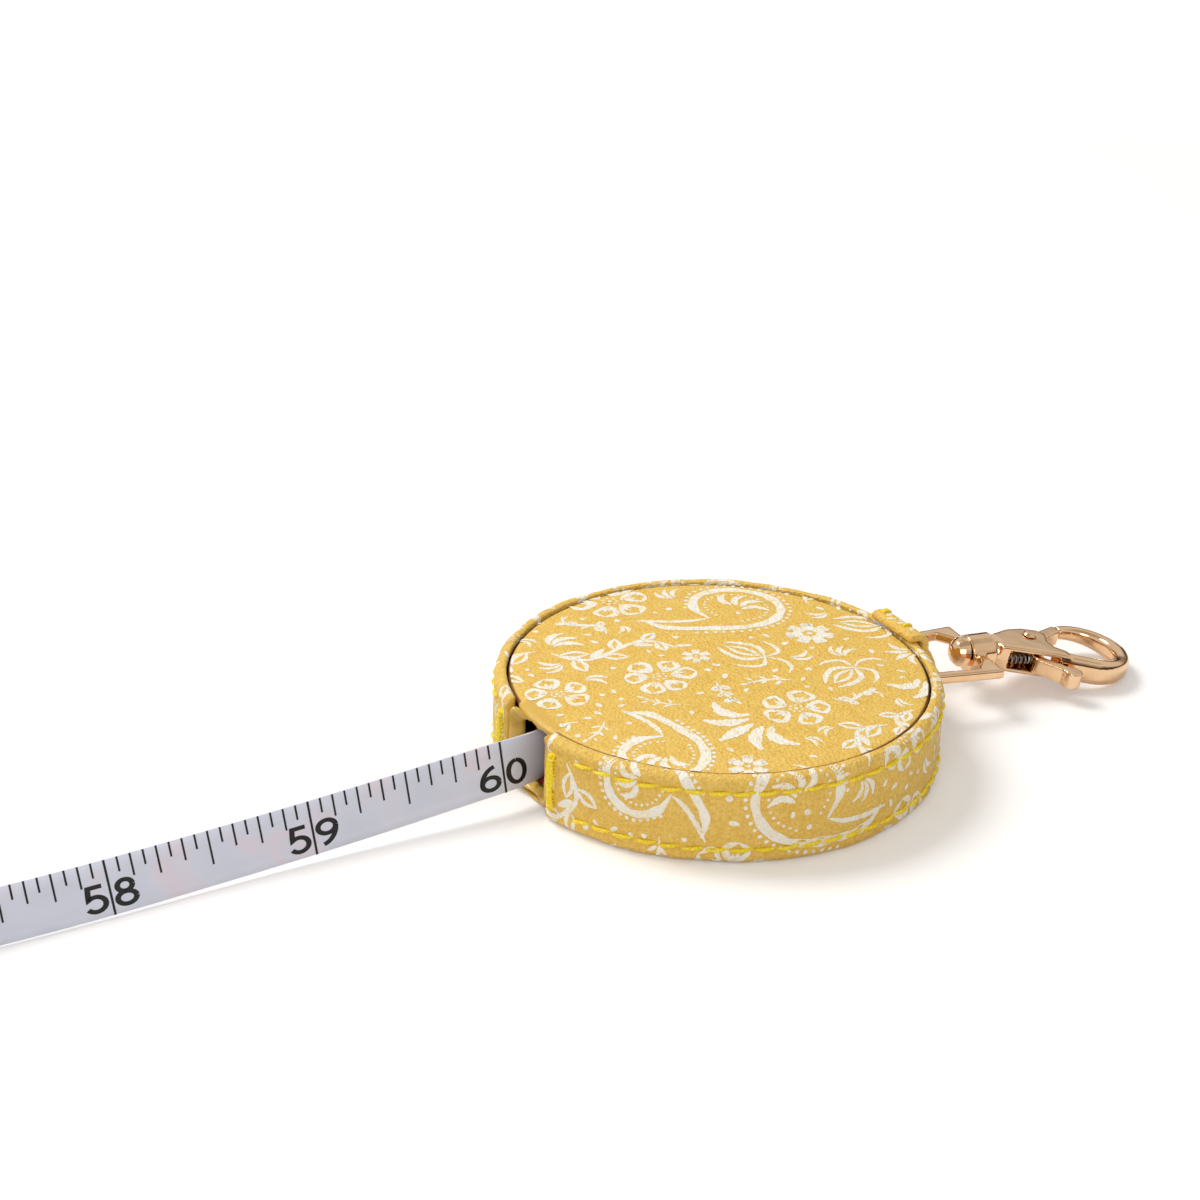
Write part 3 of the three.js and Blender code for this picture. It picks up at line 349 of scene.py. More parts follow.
# Black screen ink on the tape, slightly matt, with fine paler spots
TAPE_INK = plain("black_screen_ink", 0.45, 5.0, 2.0, ((0.4, "#121113"), (0.75, "#2a282b")))
STEEL = spring_steel("bright_spring_steel", "#9c9ea2", "#bfc1c4", 0.28)
RED_ABS = moulded("moulded_red_abs", "#84182a", "#93202f", 0.32, 0.5)
NYLON = moulded("moulded_white_nylon", "#dedace", "#e8e4da", 0.5, 0.6)
FOAM = moulded("open_cell_foam", "#c9c3b3", "#ddd8ca", 0.95, 0.3)
RUBBER = moulded("moulded_black_rubber", "#2b2929", "#393636", 0.8, 0.3)

# The camera that was fitted to the photograph: its place in millimetres and its three directions
CAMERA_AT = (-174.943, -264.311, 169.874)
CAMERA_RIGHT = (0.86579, -0.49957, 0.02896)
CAMERA_UP = (0.19033, 0.38227, 0.90424)
CAMERA_BACK = (-0.46280, -0.77737, 0.42605)
CAMERA_LENS = 85.02
CAMERA_SENSOR = 36.0


def make_camera():
    data = bpy.data.cameras.new("photo_camera")
    data.lens = CAMERA_LENS
    data.sensor_width = CAMERA_SENSOR
    data.clip_start, data.clip_end = 0.01, 20.0
    camera = new_object("photo_camera", data)
    turn = Matrix((CAMERA_RIGHT, CAMERA_UP, CAMERA_BACK)).transposed().to_4x4()
    camera.matrix_world = Matrix.Translation(Vector(CAMERA_AT) * MM) @ turn
    bpy.context.scene.camera = camera


make_camera()

# Tape, with the sizes of the CAD source
TAPE_WIDTH = 6.35
TAPE_HALF = 0.2
INCH = 25.4
TAPE_INCHES = 60
TAB_LENGTH = 5.0
LAST_MARK_X = -30.58
LEAVE_RADIUS = 9.75
TAPE_START = 0.3
ROUTE_STEPS = 12
COIL_X = -128.0
COIL_Y = -1.4
COIL_LIFT = 0.1
COIL_TURNS = 7
COIL_PITCH = 2.35
COIL_STEPS = 96
COIL_PASSES = 8
COIL_END_RADIUS = 14.0
COIL_END_ANGLE = 0.9
COIL_END_STEPS = 12
COIL_END_STRAIGHT = 3.0
# x, y, lift of the lower edge, lean of the upper edge towards +Y in degrees
TAPE_ROUTE = [
    (-21.6, 2.05, 2.45, 0), (-25.2, 0.75, 2.4, 6), (-27.8, 0.2, 2.42, 12), (LAST_MARK_X, 0.03, 2.4, 17.3),
    (-36.5, 0, 2.0, 19.3), (-45, -0.05, 1.4, 21.3), (-55.94, -0.19, 0.8, 23.5), (-68, -0.5, 0.45, 26.2),
    (-81.3, -0.95, 0.26, 28.8), (-92, -1.2, 0.2, 27.5), (-101, -1.3, 0.18, 21), (-109, -1.4, 0.15, 11),
    (-115, -1.4, 0.12, 3), (-119, -1.4, COIL_LIFT, 0), (-122, -1.4, COIL_LIFT, 0),
]
# The last inch mark is the fourth of the route's points, after the one where the tape leaves the drum.
MARK = 4 * ROUTE_STEPS


def leaning_edges(rows):
    """Lower and upper edge of the tape at each point of its route."""
    flat = [np.array([x, y, 0.0]) for x, y, _, _ in rows]
    lower, upper = [], []
    for i, (x, y, lift, lean) in enumerate(rows):
        travel = flat[min(i + 1, len(rows) - 1)] - flat[max(i - 1, 0)]
        travel /= np.linalg.norm(travel)
        side = np.cross(travel, (0, 0, 1))
        angle = math.radians(lean)
        up = np.array([0, 0, math.cos(angle)]) + side * math.sin(angle)
        low = np.array([x, y, lift]) - side * TAPE_WIDTH / 2 * math.sin(angle)
        lower.append(low)
        upper.append(low + up * TAPE_WIDTH)
    return lower, upper


def heading(angle):
    return np.array([math.cos(angle), math.sin(angle), 0.0])


def coil_line(radius):
    """The coil's lower edge from its outer turn, of this radius, to the end that the tab holds."""
    centre = np.array([COIL_X, COIL_Y + radius, COIL_LIFT])
    line = []
    for i in range(COIL_TURNS * COIL_STEPS + 1):
        turns = i / COIL_STEPS
        line.append(centre + heading(-math.pi / 2 - 2 * math.pi * turns) * (radius - COIL_PITCH * turns))
    inner = centre + np.array([0, COIL_END_RADIUS - radius + COIL_PITCH * COIL_TURNS, 0])
    for i in range(1, COIL_END_STEPS + 1):
        line.append(inner + heading(-math.pi / 2 - COIL_END_ANGLE * i / COIL_END_STEPS) * COIL_END_RADIUS)
    line.append(line[-1] + heading(math.pi - COIL_END_ANGLE) * COIL_END_STRAIGHT)
    return np.array(line)


def length_of(line):
    return float(np.linalg.norm(np.diff(line, axis=0), axis=1).sum())


def tape_edges():
    """Lower and upper edge of the tape from the drum to its end. The coil takes up what the scale needs."""
    x, y = TAPE_ROUTE[0][:2]
    angle = math.atan2(y, x) - math.acos(LEAVE_RADIUS / math.hypot(x, y))
    start = np.array([math.cos(angle), math.sin(angle)]) * LEAVE_RADIUS
    start += TAPE_START * np.array([-math.sin(angle), math.cos(angle)])
    lower, upper = leaning_edges([(start[0], start[1], TAPE_ROUTE[0][2], 0), *TAPE_ROUTE])
    lower, upper = catmull(lower, ROUTE_STEPS), catmull(upper, ROUTE_STEPS)
    seen = length_of((lower[MARK:] + upper[MARK:]) / 2 * (1, 1, 0))
    wanted = TAPE_INCHES * INCH - TAB_LENGTH - seen - (lower[-1][0] - COIL_X)
    radius = wanted / (2 * math.pi * COIL_TURNS) + COIL_PITCH * COIL_TURNS / 2
    for _ in range(COIL_PASSES):
        radius += (wanted - length_of(coil_line(radius))) / (2 * math.pi * COIL_TURNS)
    lead = [lower[-1] + (np.array([COIL_X, COIL_Y, COIL_LIFT]) - lower[-1]) * share for share in (0.33, 0.67)]
    tail = np.array(lead + list(coil_line(radius)))
    return np.vstack([lower, tail]), np.vstack([upper, tail + (0, 0, TAPE_WIDTH)])


def tape_ribbon(lower, upper):
    """A closed ribbon whose edges are rounded over the tape's thickness."""
    middle = (lower + upper) / 2
    travel = unit(np.gradient(middle, axis=0))
    across = (upper - lower) / TAPE_WIDTH
    out = unit(np.cross(travel, across))
    section = [(-1, 0.4), (-0.985, 1), (-0.5, 1), (0, 1), (0.5, 1), (0.985, 1), (1, 0.4)]
    section += [(-a, -b) for a, b in section]
    points = []
    for m, a, o in zip(middle, across, out):
        points += [m + a * TAPE_WIDTH / 2 * s + o * TAPE_HALF * t for s, t in section]
    return points, tube_faces(len(middle), len(section)), middle, across, out


tape_points, tape_faces, TAPE_LINE, TAPE_ACROSS, TAPE_OUT = tape_ribbon(*tape_edges())
TAPE_AT = lengths_along(TAPE_LINE)
TAPE_END = TAPE_AT[-1]
tape = add_mesh("measuring_tape", tape_points, tape_faces, TAPE, "tape", "tape", ("tape_run", "tape_coil"))

# Scales on both faces of the tape
INK_LIFT = 0.012
END_MARGIN = 0.4
TICK_TOP = 0.995
INCH_PARTS = 16
INCH_TICKS = {1: 1.75, 2: 2.6, 4: 3.2, 8: 3.95, 16: TAPE_WIDTH}
INCH_TICK_HALF = 0.13
INCH_LINE_HALF = 0.15
INCH_DIGIT_BOTTOM = -0.8
CM_TICKS = {1: 1.4, 5: 2.2, 10: 2.9}
CM_TICK_HALF = 0.08
CM_DIGIT_BOTTOM = -0.88
CM_DIGIT_GAP = 0.3
DIGIT_LINE = 0.076
DIGIT_STEPS = 4
DIGIT_HEIGHT = 3.2
DIGIT_STRETCH = 1.42
DIGIT_GAP = 0.4


def on_tape(along, height, face):
    """A point on the tape: distance from its drum end, height across it from -1 to 1, and face 1 or -1."""
    m, a, o = (np.array([np.interp(along, TAPE_AT, part[:, k]) for k in range(3)])
               for part in (TAPE_LINE, TAPE_ACROSS, TAPE_OUT))
    return m + a * TAPE_WIDTH / 2 * height + o * face * (TAPE_HALF + INK_LIFT)


def arc(x, y, half_width, half_height, start, end, count=20):
    """Points of an oval from one angle to another, in degrees."""
    turns = np.radians(np.linspace(start, end, count))
    return [(x + half_width * math.cos(a), y + half_height * math.sin(a)) for a in turns]


# Each digit's own lines, in a height of 1
DIGIT_LINES = {
    "0": [arc(0.31, 0.5, 0.25, 0.43, 90, 450, 34)],
    "1": [[(0.02, 0.74), (0.2, 0.93), (0.2, 0.07)]],
    "2": [arc(0.3, 0.69, 0.24, 0.24, 165, -38) + [(0.06, 0.07), (0.56, 0.07)]],
    "3": [arc(0.28, 0.72, 0.21, 0.21, 155, -80), arc(0.28, 0.29, 0.25, 0.22, 80, -155)],
    "4": [[(0.44, 0.07), (0.44, 0.93), (0.05, 0.3), (0.6, 0.3)]],
    "5": [[(0.52, 0.93), (0.15, 0.93), (0.11, 0.52)] + arc(0.29, 0.33, 0.26, 0.26, 125, -150)],
    "6": [arc(0.31, 0.31, 0.25, 0.24, 0, 360, 26), arc(0.55, 0.31, 0.49, 0.62, 180, 100)],
    "7": [[(0.05, 0.93), (0.56, 0.93), (0.22, 0.07)]],
    "8": [arc(0.31, 0.73, 0.2, 0.2, 0, 360, 24), arc(0.31, 0.29, 0.25, 0.22, 0, 360, 26)],
    "9": [arc(0.31, 0.69, 0.25, 0.24, 0, 360, 26), arc(0.07, 0.69, 0.49, 0.62, 0, -80)],
}


def ribbon(line, half):
    """A flat line of even width with mitred corners, as points in pairs and faces."""
    points = [a + (np.array(b) - a) * k / DIGIT_STEPS
              for a, b in zip(line, line[1:]) for k in range(DIGIT_STEPS)]
    points = np.array(points + [line[-1]])
    way = unit(np.diff(points, axis=0))
    before, after = np.vstack([way[:1], way]), np.vstack([way, way[-1:]])
    middle = unit(before + after)
    reach = half / np.maximum(np.sum(middle * after, axis=1), 0.5)
    side = np.stack([-middle[:, 1], middle[:, 0]], 1) * reach[:, None]
    return np.stack([points - side, points + side], 1).reshape(-1, 2), grid_faces(len(points), 2)


class Print:
    """Flat marks gathered into one mesh."""

    def __init__(self):
        self.points, self.faces = [], []

    def put(self, points, faces):
        start = len(self.points)
        self.points += [np.asarray(p) for p in points]
        self.faces += [tuple(start + i for i in face) for face in faces]


def digit_shape(lines):
    shape = Print()
    for line in lines:
        shape.put(*ribbon(line, DIGIT_LINE))
    return shape.points, shape.faces


DIGITS = {digit: digit_shape(lines) for digit, lines in DIGIT_LINES.items()}


def digit_width(digit):
    return float(max(x for x, _ in DIGITS[digit][0])) * DIGIT_HEIGHT * DIGIT_STRETCH


def put_tick(marks, at, reach, half, face):
    """A line across the tape, from near its upper edge down by reach."""
    low = 1 - 2 * reach / TAPE_WIDTH
    marks.put([on_tape(a, h, face) for a in (at - half, at + half) for h in (low, TICK_TOP)], [(0, 1, 3, 2)])


def put_digit(marks, digit, left, bottom, reading, face):
    """A digit whose left edge is at `left`; reading is 1 where it reads along the tape from the drum."""
    points, faces = DIGITS[digit]
    placed = [on_tape(left + reading * x * DIGIT_HEIGHT * DIGIT_STRETCH,
                      bottom + 2 * y * DIGIT_HEIGHT / TAPE_WIDTH, face) for x, y in points]
    marks.put(placed, faces)


def inch_scale():
    """Sixteenths of an inch from the upper edge; the inch line runs right across and splits its number."""
    marks = Print()
    for count in range(TAPE_INCHES * INCH_PARTS + 1):
        at = TAPE_AT[MARK] + (TAPE_INCHES * INCH_PARTS - count) * INCH / INCH_PARTS
        if at > TAPE_END - END_MARGIN:
            continue
        step = next(s for s in (16, 8, 4, 2, 1) if count % s == 0)
        put_tick(marks, at, INCH_TICKS[step], INCH_TICK_HALF if step < INCH_PARTS else INCH_LINE_HALF, -1)
        if step == INCH_PARTS and count:
            text = str(count // INCH_PARTS)
            put_digit(marks, text[0], at + DIGIT_GAP + digit_width(text[0]), INCH_DIGIT_BOTTOM, -1, -1)
            if len(text) > 1:
                put_digit(marks, text[1], at - DIGIT_GAP, INCH_DIGIT_BOTTOM, -1, -1)
    return marks


def centimetre_scale():
    """The back has centimetres, counted from the same end."""
    marks = Print()
    for count in range(1, int(TAPE_END - TAPE_AT[MARK]) + 6):
        at = TAPE_END + TAB_LENGTH - count
        if at > TAPE_END - END_MARGIN:
            continue
        step = next(s for s in (10, 5, 1) if count % s == 0)
        put_tick(marks, at, CM_TICKS[step], CM_TICK_HALF, 1)
        if step == 10:
            text = str(count // 10)
            left = at - sum(digit_width(d) + CM_DIGIT_GAP for d in text) / 2
            for digit in text:
                put_digit(marks, digit, left, CM_DIGIT_BOTTOM, 1, 1)
                left += digit_width(digit) + CM_DIGIT_GAP
    return marks


def tape_print(name, marks):
    return add_mesh(name, marks.points, marks.faces, TAPE_INK, "tape", "tape", rounded=False)


TAPE_PRINT = [tape_print("inch_scale", inch_scale()), tape_print("centimetre_scale", centimetre_scale())]
cord_path = [tuple(p * MM) for p in resample(TAPE_LINE, 3.0)[0]]
length_of(TAPE_LINE) * MM

# Leather band

def corner(cx, cz, radius, start, end, steps):
    angles = np.linspace(start, end, steps + 1)
    return [polar(radius, a, cx, cz) for a in angles]


def band_section():
    """Band profile from the top lip's inner edge over the wall to the bottom lip, as radius and height."""
    low, top, edge, quarter = BAND_LIFT, CASE_HEIGHT, LIP_EDGE, math.pi / 2
    points = [(edge, top - LIP_DEPTH)]
    points += corner(edge + LIP_ROUND, top - LIP_ROUND, LIP_ROUND, math.pi, quarter, 4)
    points += corner(CASE_RADIUS - BAND_ROUND, top - BAND_ROUND, BAND_ROUND, quarter, 0, 8)
    points += corner(CASE_RADIUS - BAND_ROUND, low + BAND_ROUND, BAND_ROUND, 0, -quarter, 8)
    points += corner(edge + LIP_ROUND, low + LIP_ROUND, LIP_ROUND, -quarter, -math.pi, 4)
    return np.array(points + [(edge, low + LIP_DEPTH)])


BAND_LINE, BAND_AT = resample(band_section(), 0.14)
BAND_LENGTH = float(BAND_AT[-1])
BAND_COLUMNS = 1400
STITCH_ROWS = (CASE_HEIGHT - STITCH_INSET, BAND_LIFT + STITCH_INSET)
ROW_AT = [float(BAND_AT[np.argmin(np.hypot(*(BAND_LINE - (CASE_RADIUS, row)).T))]) for row in STITCH_ROWS]
TOP_ROW, BOTTOM_ROW = ROW_AT
# A few long waves stand for the hand-turned edge; each is turns round the case, size in millimetres, start.
WAVES = [(7, 0.05, 0.4), (13, 0.045, 2.1), (23, 0.035, 4.0), (41, 0.022, 1.3)]
# How far the leather is drawn in at the band's ends, from the last column on
TUCK = [0.42, 0.25, 0.13, 0.06, 0.02]
# How deep a stitch pulls the leather in and how wide, over what length a lip rises, how wide the wall swells
PULL = 0.09
PULL_WIDTH = 0.42
LIP_RISE = 1.6
SWELL_WIDTH = 2.4


def waves(s):
    turn = np.asarray(s) / CASE_RADIUS
    return sum(size * np.sin(count * turn + start) for count, size, start in WAVES)


def band_offset(s, v):
    """How far the leather stands off its plain profile: pulled in at the stitches, full above and below."""
    s, v = np.broadcast_arrays(np.asarray(s, float), np.asarray(v, float))
    out = np.zeros(s.shape)
    hole = 0.5 + 0.5 * np.cos(2 * np.pi * s / STITCH_PITCH)
    for at in ROW_AT:
        out -= (PULL + PULL * hole) * np.exp(-(((v - at) / PULL_WIDTH) ** 2))
    for at, inner in ((TOP_ROW, 0.0), (BOTTOM_ROW, BAND_LENGTH)):
        lip = smooth(0, LIP_RISE, np.abs(v - at)) * (np.sign(v - at) == np.sign(inner - at))
        out += lip * (0.07 + 0.8 * waves(s)) * smooth(0.3, LIP_RISE, np.abs(v - inner))
    middle = np.exp(-(((v - BAND_LENGTH / 2) / SWELL_WIDTH) ** 2))
    return out + middle * (0.06 + 0.5 * waves(s + 31))


# The profile's outward direction at each of its points
BAND_NORMAL = unit(np.gradient(BAND_LINE, axis=0) @ np.array([[0, 1], [-1, 0]]))


def band_angle(share, radius):
    """Angle round the case: share runs from 0 at the slot's far side to 1 at its near side."""
    half = np.arcsin(SLOT_HALF / radius)
    return np.pi - half - share * (2 * np.pi - 2 * half)


def on_band(s, v, proud=0.0):
    """A point of the leather's surface, from its length round the case and along the profile."""
    radius, height, nr, nz = (np.interp(v, BAND_AT, part[:, k])
                              for part in (BAND_LINE, BAND_NORMAL) for k in (0, 1))
    size = np.hypot(nr, nz)
    away = band_offset(s, v) + proud
    radius, height = radius + nr / size * away, height + nz / size * away
    angle = np.asarray(s, float) / CASE_RADIUS
    return np.stack([radius * np.cos(angle), radius * np.sin(angle), height], -1)


def band_mesh():
    inner = [(LIP_EDGE + 0.2, BAND_LIFT + LIP_DEPTH), (LIP_EDGE + 0.2, CASE_HEIGHT - LIP_DEPTH)]
    points, stretch_and_shade = [], []
    for i in range(BAND_COLUMNS + 1):
        edge = min(i, BAND_COLUMNS - i)
        shrink = TUCK[edge] if edge < len(TUCK) else 0.0
        for (radius, _), v in zip(BAND_LINE, BAND_AT):
            points.append(on_band(float(band_angle(i / BAND_COLUMNS, radius)) * CASE_RADIUS, v, -shrink))
        for radius, height in inner:
            points.append((*polar(radius, float(band_angle(i / BAND_COLUMNS, radius))), height))
        # The band's two end columns count as stretched: glossy, and painted darker as shade at the slot
        stretch_and_shade += [1.0 if edge < 2 else 0.0] * (len(BAND_LINE) + len(inner))
    return points, tube_faces(BAND_COLUMNS + 1, len(BAND_LINE) + len(inner)), stretch_and_shade


def set_values(piece, name, values):
    piece.data.attributes.new(name, "FLOAT", "POINT").data.foreach_set("value", values)


band_points, band_faces, band_stretch_and_shade = band_mesh()
BAND = add_mesh("leather_side_band", band_points, band_faces, LEATHER, "case", "leather", ("side_band",))
set_values(BAND, "stretch_and_shade", band_stretch_and_shade)

# Covers
COVER_RINGS = 110
COVER_COLUMNS = 720
# Below 1 the rings crowd towards the edge; the face begins to round off this far in from it.
RING_BIAS = 0.85
EDGE_EASE = 2.5
# Over the slot: half the width of the folded edge, its reach, and where its leather begins to stretch, turn
# glossy and take painted shade
TONGUE = 4.62
TONGUE_RADIUS = 26.45
STRETCH_AND_SHADE_FROM, STRETCH_AND_SHADE_FULL = 23.9, 25.2
# The plain edge and the folded edge over the slot, as distance in from the outline and depth below the top
PLAIN_EDGE = np.array([(0.9, 0), (0.6, 0.03), (0.38, 0.08), (0.2, 0.17), (0.08, 0.3), (0.01, 0.45),
                       (0.0, 0.62), (0.1, 0.8), (0.5, 0.8)])
FOLD_EDGE = np.array([(1.7, 0.04), (1.2, 0.1), (0.75, 0.19), (0.38, 0.3), (0.14, 0.43), (0.02, 0.58),
                      (0.05, 0.74), (0.3, 0.88), (0.9, 0.85)])


def crown_height(x, y):
    """Height of the padded top face: the crown with soft low swells in it."""
    share = np.clip(np.hypot(x, y) / COVER_RADIUS, 0, 1)
    crown = CROWN * (1 - share ** 2) * (1 - share ** 8 / 2)
    swell = 0.05 * np.sin(0.21 * x + 1.1) * np.sin(0.17 * y + 0.4) + 0.03 * np.sin(0.47 * y - 0.33 * x)
    return COVER_TOP + crown + swell * (1 - share ** 6)


def tongue_share(angle):
    """1 over the slot, 0 elsewhere, with a short ramp that forms the folded corners."""
    y = COVER_RADIUS * np.sin(angle)
    return (np.cos(angle) < 0) * (1 - smooth(TONGUE - 0.45, TONGUE + 0.1, np.abs(y)))


def cover_points(top, depth_share):
    """Points by columns from the middle to the edge, each with its stretch, which also paints the fold darker
    as shade, and its share of the painted seam shadow along the rim.
    """
    fold = FOLD_EDGE * (1, depth_share)
    rows = []
    for j in range(COVER_COLUMNS):
        angle = math.pi * 2 * j / COVER_COLUMNS
        share = float(tongue_share(angle))
        reach = COVER_RADIUS + (TONGUE_RADIUS - COVER_RADIUS) * share
        edge = PLAIN_EDGE + (fold - PLAIN_EDGE) * share
        last = reach - edge[0][0]
        for i in range(1, COVER_RINGS + 1):
            radius = last * (i / COVER_RINGS) ** RING_BIAS
            x, y = polar(radius, angle)
            z = float(top(x, y)) - edge[0][1] * smooth(last - EDGE_EASE, last, radius)
            rows.append((x, y, z, share * float(smooth(STRETCH_AND_SHADE_FROM, STRETCH_AND_SHADE_FULL, radius)), 0.0))
        for inward, below in edge[1:]:
            x, y = polar(reach - inward, angle)
            # Within 0.3 mm of the rim, except over the slot, the cover carries the painted seam shadow
            rows.append((x, y, float(top(x, y)) - below, share, (1 - share) * float(inward < 0.3)))
    return np.array(rows)


def make_cover(name, node, top, depth_share, upside_down):
    """A cover with the face's height from top; upside_down is the height to mirror it in, or 0."""
    rows = cover_points(top, depth_share)
    columns = COVER_RINGS + len(PLAIN_EDGE) - 1
    centre = len(rows)
    under = float(np.mean(rows[columns - 1::columns, 2]))
    rows = np.vstack([rows, [(0, 0, float(top(0.0, 0.0)), 0, 0), (0, 0, under, 0, 0)]])
    faces = grid_faces(COVER_COLUMNS, columns, closed_rows=True)
    for j in range(COVER_COLUMNS):
        after = (j + 1) % COVER_COLUMNS
        faces.append((centre, j * columns, after * columns))
        faces.append((centre + 1, after * columns + columns - 1, j * columns + columns - 1))
    if upside_down:
        rows[:, 2] = upside_down - rows[:, 2]
    piece = add_mesh(name, rows[:, :3], faces, LEATHER, "case", "leather", (node,))
    set_values(piece, "stretch_and_shade", rows[:, 3])
    set_values(piece, "seam_shadow", rows[:, 4])
    fix_normals(piece)
    return piece


TOP_COVER = make_cover("padded_top_cover", "top_cover", crown_height, 1.0, 0)
make_cover("bottom_cover_sheet", "bottom_cover", lambda x, y: COVER_TOP + 0 * x, 0.5, COVER_TOP)

# Slot lining: the outer end, the lower and upper height, half the width, the corner and the depth
LINING_OUTER = -27.22
LINING_LOW, LINING_HIGH = 1.0, 10.35
LINING_HALF = 4.7
LINING_CORNER = 1.1
LINING_DEPTH = 1.9
# Depth from the outer end, wall thickness there, crease depth
LINING_STATIONS = [
    (LINING_DEPTH, 0.05, 0), (1.2, 0.02, 0), (0.35, 0.02, 0), (0.1, 0.08, 0), (0, 0.2, 0), (0.02, 0.34, 0.04),
    (0.18, 0.5, 0.1), (0.5, 0.64, 0.16), (0.9, 0.76, 0.16), (1.4, 0.84, 0.1), (LINING_DEPTH, 0.86, 0.04),
]


def rounded_rectangle(half, low, high, radius, steps=10):
    points, quarter = [], math.pi / 2
    for k, (side, end) in enumerate(((1, low), (1, high), (-1, high), (-1, low))):
        z = end + radius if end == low else end - radius
        points += corner(side * (half - radius), z, radius, (k - 1) * quarter, k * quarter, steps)
    return np.array(points)


def mouth_setback(y, z):
    """How far back the mouth's edge lies: right under the face at the top, and in a wave along the bottom."""
    bottom = 0.8 * (1 - smooth(1.2, 3.2, z)) * math.exp(-(((y + 0.8) / 2.4) ** 2))
    return 1.3 * smooth(8.6, 10.0, z) * (1 - smooth(3.4, 4.5, abs(y))) + bottom


def lining_mesh():
    """Folded vinyl: the outer face goes back over a rolled mouth, and creases run inwards from the mouth."""
    outline = rounded_rectangle(LINING_HALF, LINING_LOW, LINING_HIGH, LINING_CORNER)
    base = resample(np.vstack([outline, outline[:1]]), 0.3)[0][:-1]
    centre = np.array([0, (LINING_LOW + LINING_HIGH) / 2])
    points = []
    for depth, wall, crease in LINING_STATIONS:
        for k, (y, z) in enumerate(base):
            inward = (centre - (y, z)) / (LINING_HALF, (LINING_HIGH - LINING_LOW) / 2)
            fold = crease * (math.sin(k * 0.55 + depth * 0.9) + 0.6 * math.sin(k * 1.31 + 2 - depth * 1.6))
            shift = (wall + fold) * inward
            back = mouth_setback(y, z) * (1 - depth / LINING_DEPTH)
            ear = 0.75 * smooth(3.3, 4.4, abs(y)) * smooth(8.6, 10.2, z) * (1 - smooth(0.35, 0.85, depth))
            points.append((LINING_OUTER + depth + back, y + shift[0], z + shift[1] + ear))
    return points, grid_faces(len(LINING_STATIONS), len(base), closed_rows=True, closed_columns=True)


fix_normals(add_mesh("folded_slot_lining", *lining_mesh(), SHADED_VINYL, "case", "vinyl", ("slot_lining",)))


def copy_of(node, name, material, body):
    """A new piece that starts as the CAD node's shape and stands for it."""
    data = bpy.data.objects[node].data.copy()
    data.name = name
    data.materials.clear()
    data.materials.append(material)
    return on_body(new_object(name, data), body, (node,))


def cast(piece, voxel_mm, rounds):
    """Edges melt a little, as they do on a casting that has been tumbled and polished."""
    remesh = piece.modifiers.new("cast skin", "REMESH")
    remesh.mode = "VOXEL"
    remesh.voxel_size = voxel_mm * MM
    remesh.use_smooth_shade = True
    relax = piece.modifiers.new("tumbled", "SMOOTH")
    relax.factor = 0.5
    relax.iterations = rounds
    return piece


# Node, name, body, voxel size in millimetres, rounds of tumbling
CASTINGS = [
    ("hook_ring", "cast_ring", "ring", 0.09, 26),
    ("hook_body", "cast_snap_hook", "hook", 0.09, 45),
    ("trigger_lever", "cast_lever", "trigger", 0.08, 26),
    ("swivel_post", "turned_swivel_post", "hook", 0.07, 5),
    ("lever_rivet", "domed_lever_rivet", "hook", 0.05, 4),
]
STRAP = cast(copy_of("strap_tab", "leather_strap", LEATHER, "case"), 0.12, 34)
for node, name, body, voxel, rounds in CASTINGS:
    cast(copy_of(node, name, ROSE_GOLD, body), voxel, rounds)


def spring(node, name, body):
    """A coil spring: a steel copy of the CAD node's shape, with a mesh of its own."""
    piece = copy_of(node, name, STEEL, body)
    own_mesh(piece)


spring("button_spring", "button_coil_spring", "case")
spring("trigger_spring", "trigger_coil_spring", "hook")

# Thread: how deep a stitch's ends lie in the leather, the room between stitches and at the band's ends
STITCH_DEPTH = 0.32
STITCH_HOLE = 0.06
END_ROOM = 1.9
# Strands that run along a bar tack, each with its distance from the band's end and its radius
BAR_STRANDS = [(1.28, 0.3), (1.66, 0.28), (1.48, 0.34), (1.16, 0.2), (1.78, 0.2)]
BAR_STITCHES = 15


def tube(points, radius, sides=8):
    """A closed tube along points; radius may be one value or one per point."""
    line = np.asarray(points, float)
    travel = unit(np.gradient(line, axis=0))
    first = unit(np.cross(travel, (0.31, 0.17, 0.94)))
    second = np.cross(travel, first)
    turns = np.linspace(0, 2 * math.pi, sides, endpoint=False)
    rings = []
    for p, a, b, r in zip(line, first, second, np.broadcast_to(radius, (len(line),))):
        rings += [p + r * (math.cos(t) * a + math.sin(t) * b) for t in turns]
    return rings, tube_faces(len(line), sides)


def stitch(at, start, end, radius, rise, slant):
    """A stitch on the band: out of its hole, over the leather at a slight slant and back in."""
    points, radii = [], []
    for t in np.arange(11) / 10:
        arch = math.sin(math.pi * t) ** 0.45
        proud = -STITCH_DEPTH + (STITCH_DEPTH + rise) * arch
        points.append(on_band(start + (end - start) * t, at + slant * (t - 0.5), proud))
        radii.append(radius * (0.72 + 0.33 * math.sin(math.pi * t)))
    return tube(points, radii)


def band_end_length(share, v):
    """Length round the case at which the band ends, on its far side for share 0 and its near side for 1."""
    return float(band_angle(share, float(np.interp(v, BAND_AT, BAND_LINE[:, 0])))) * CASE_RADIUS


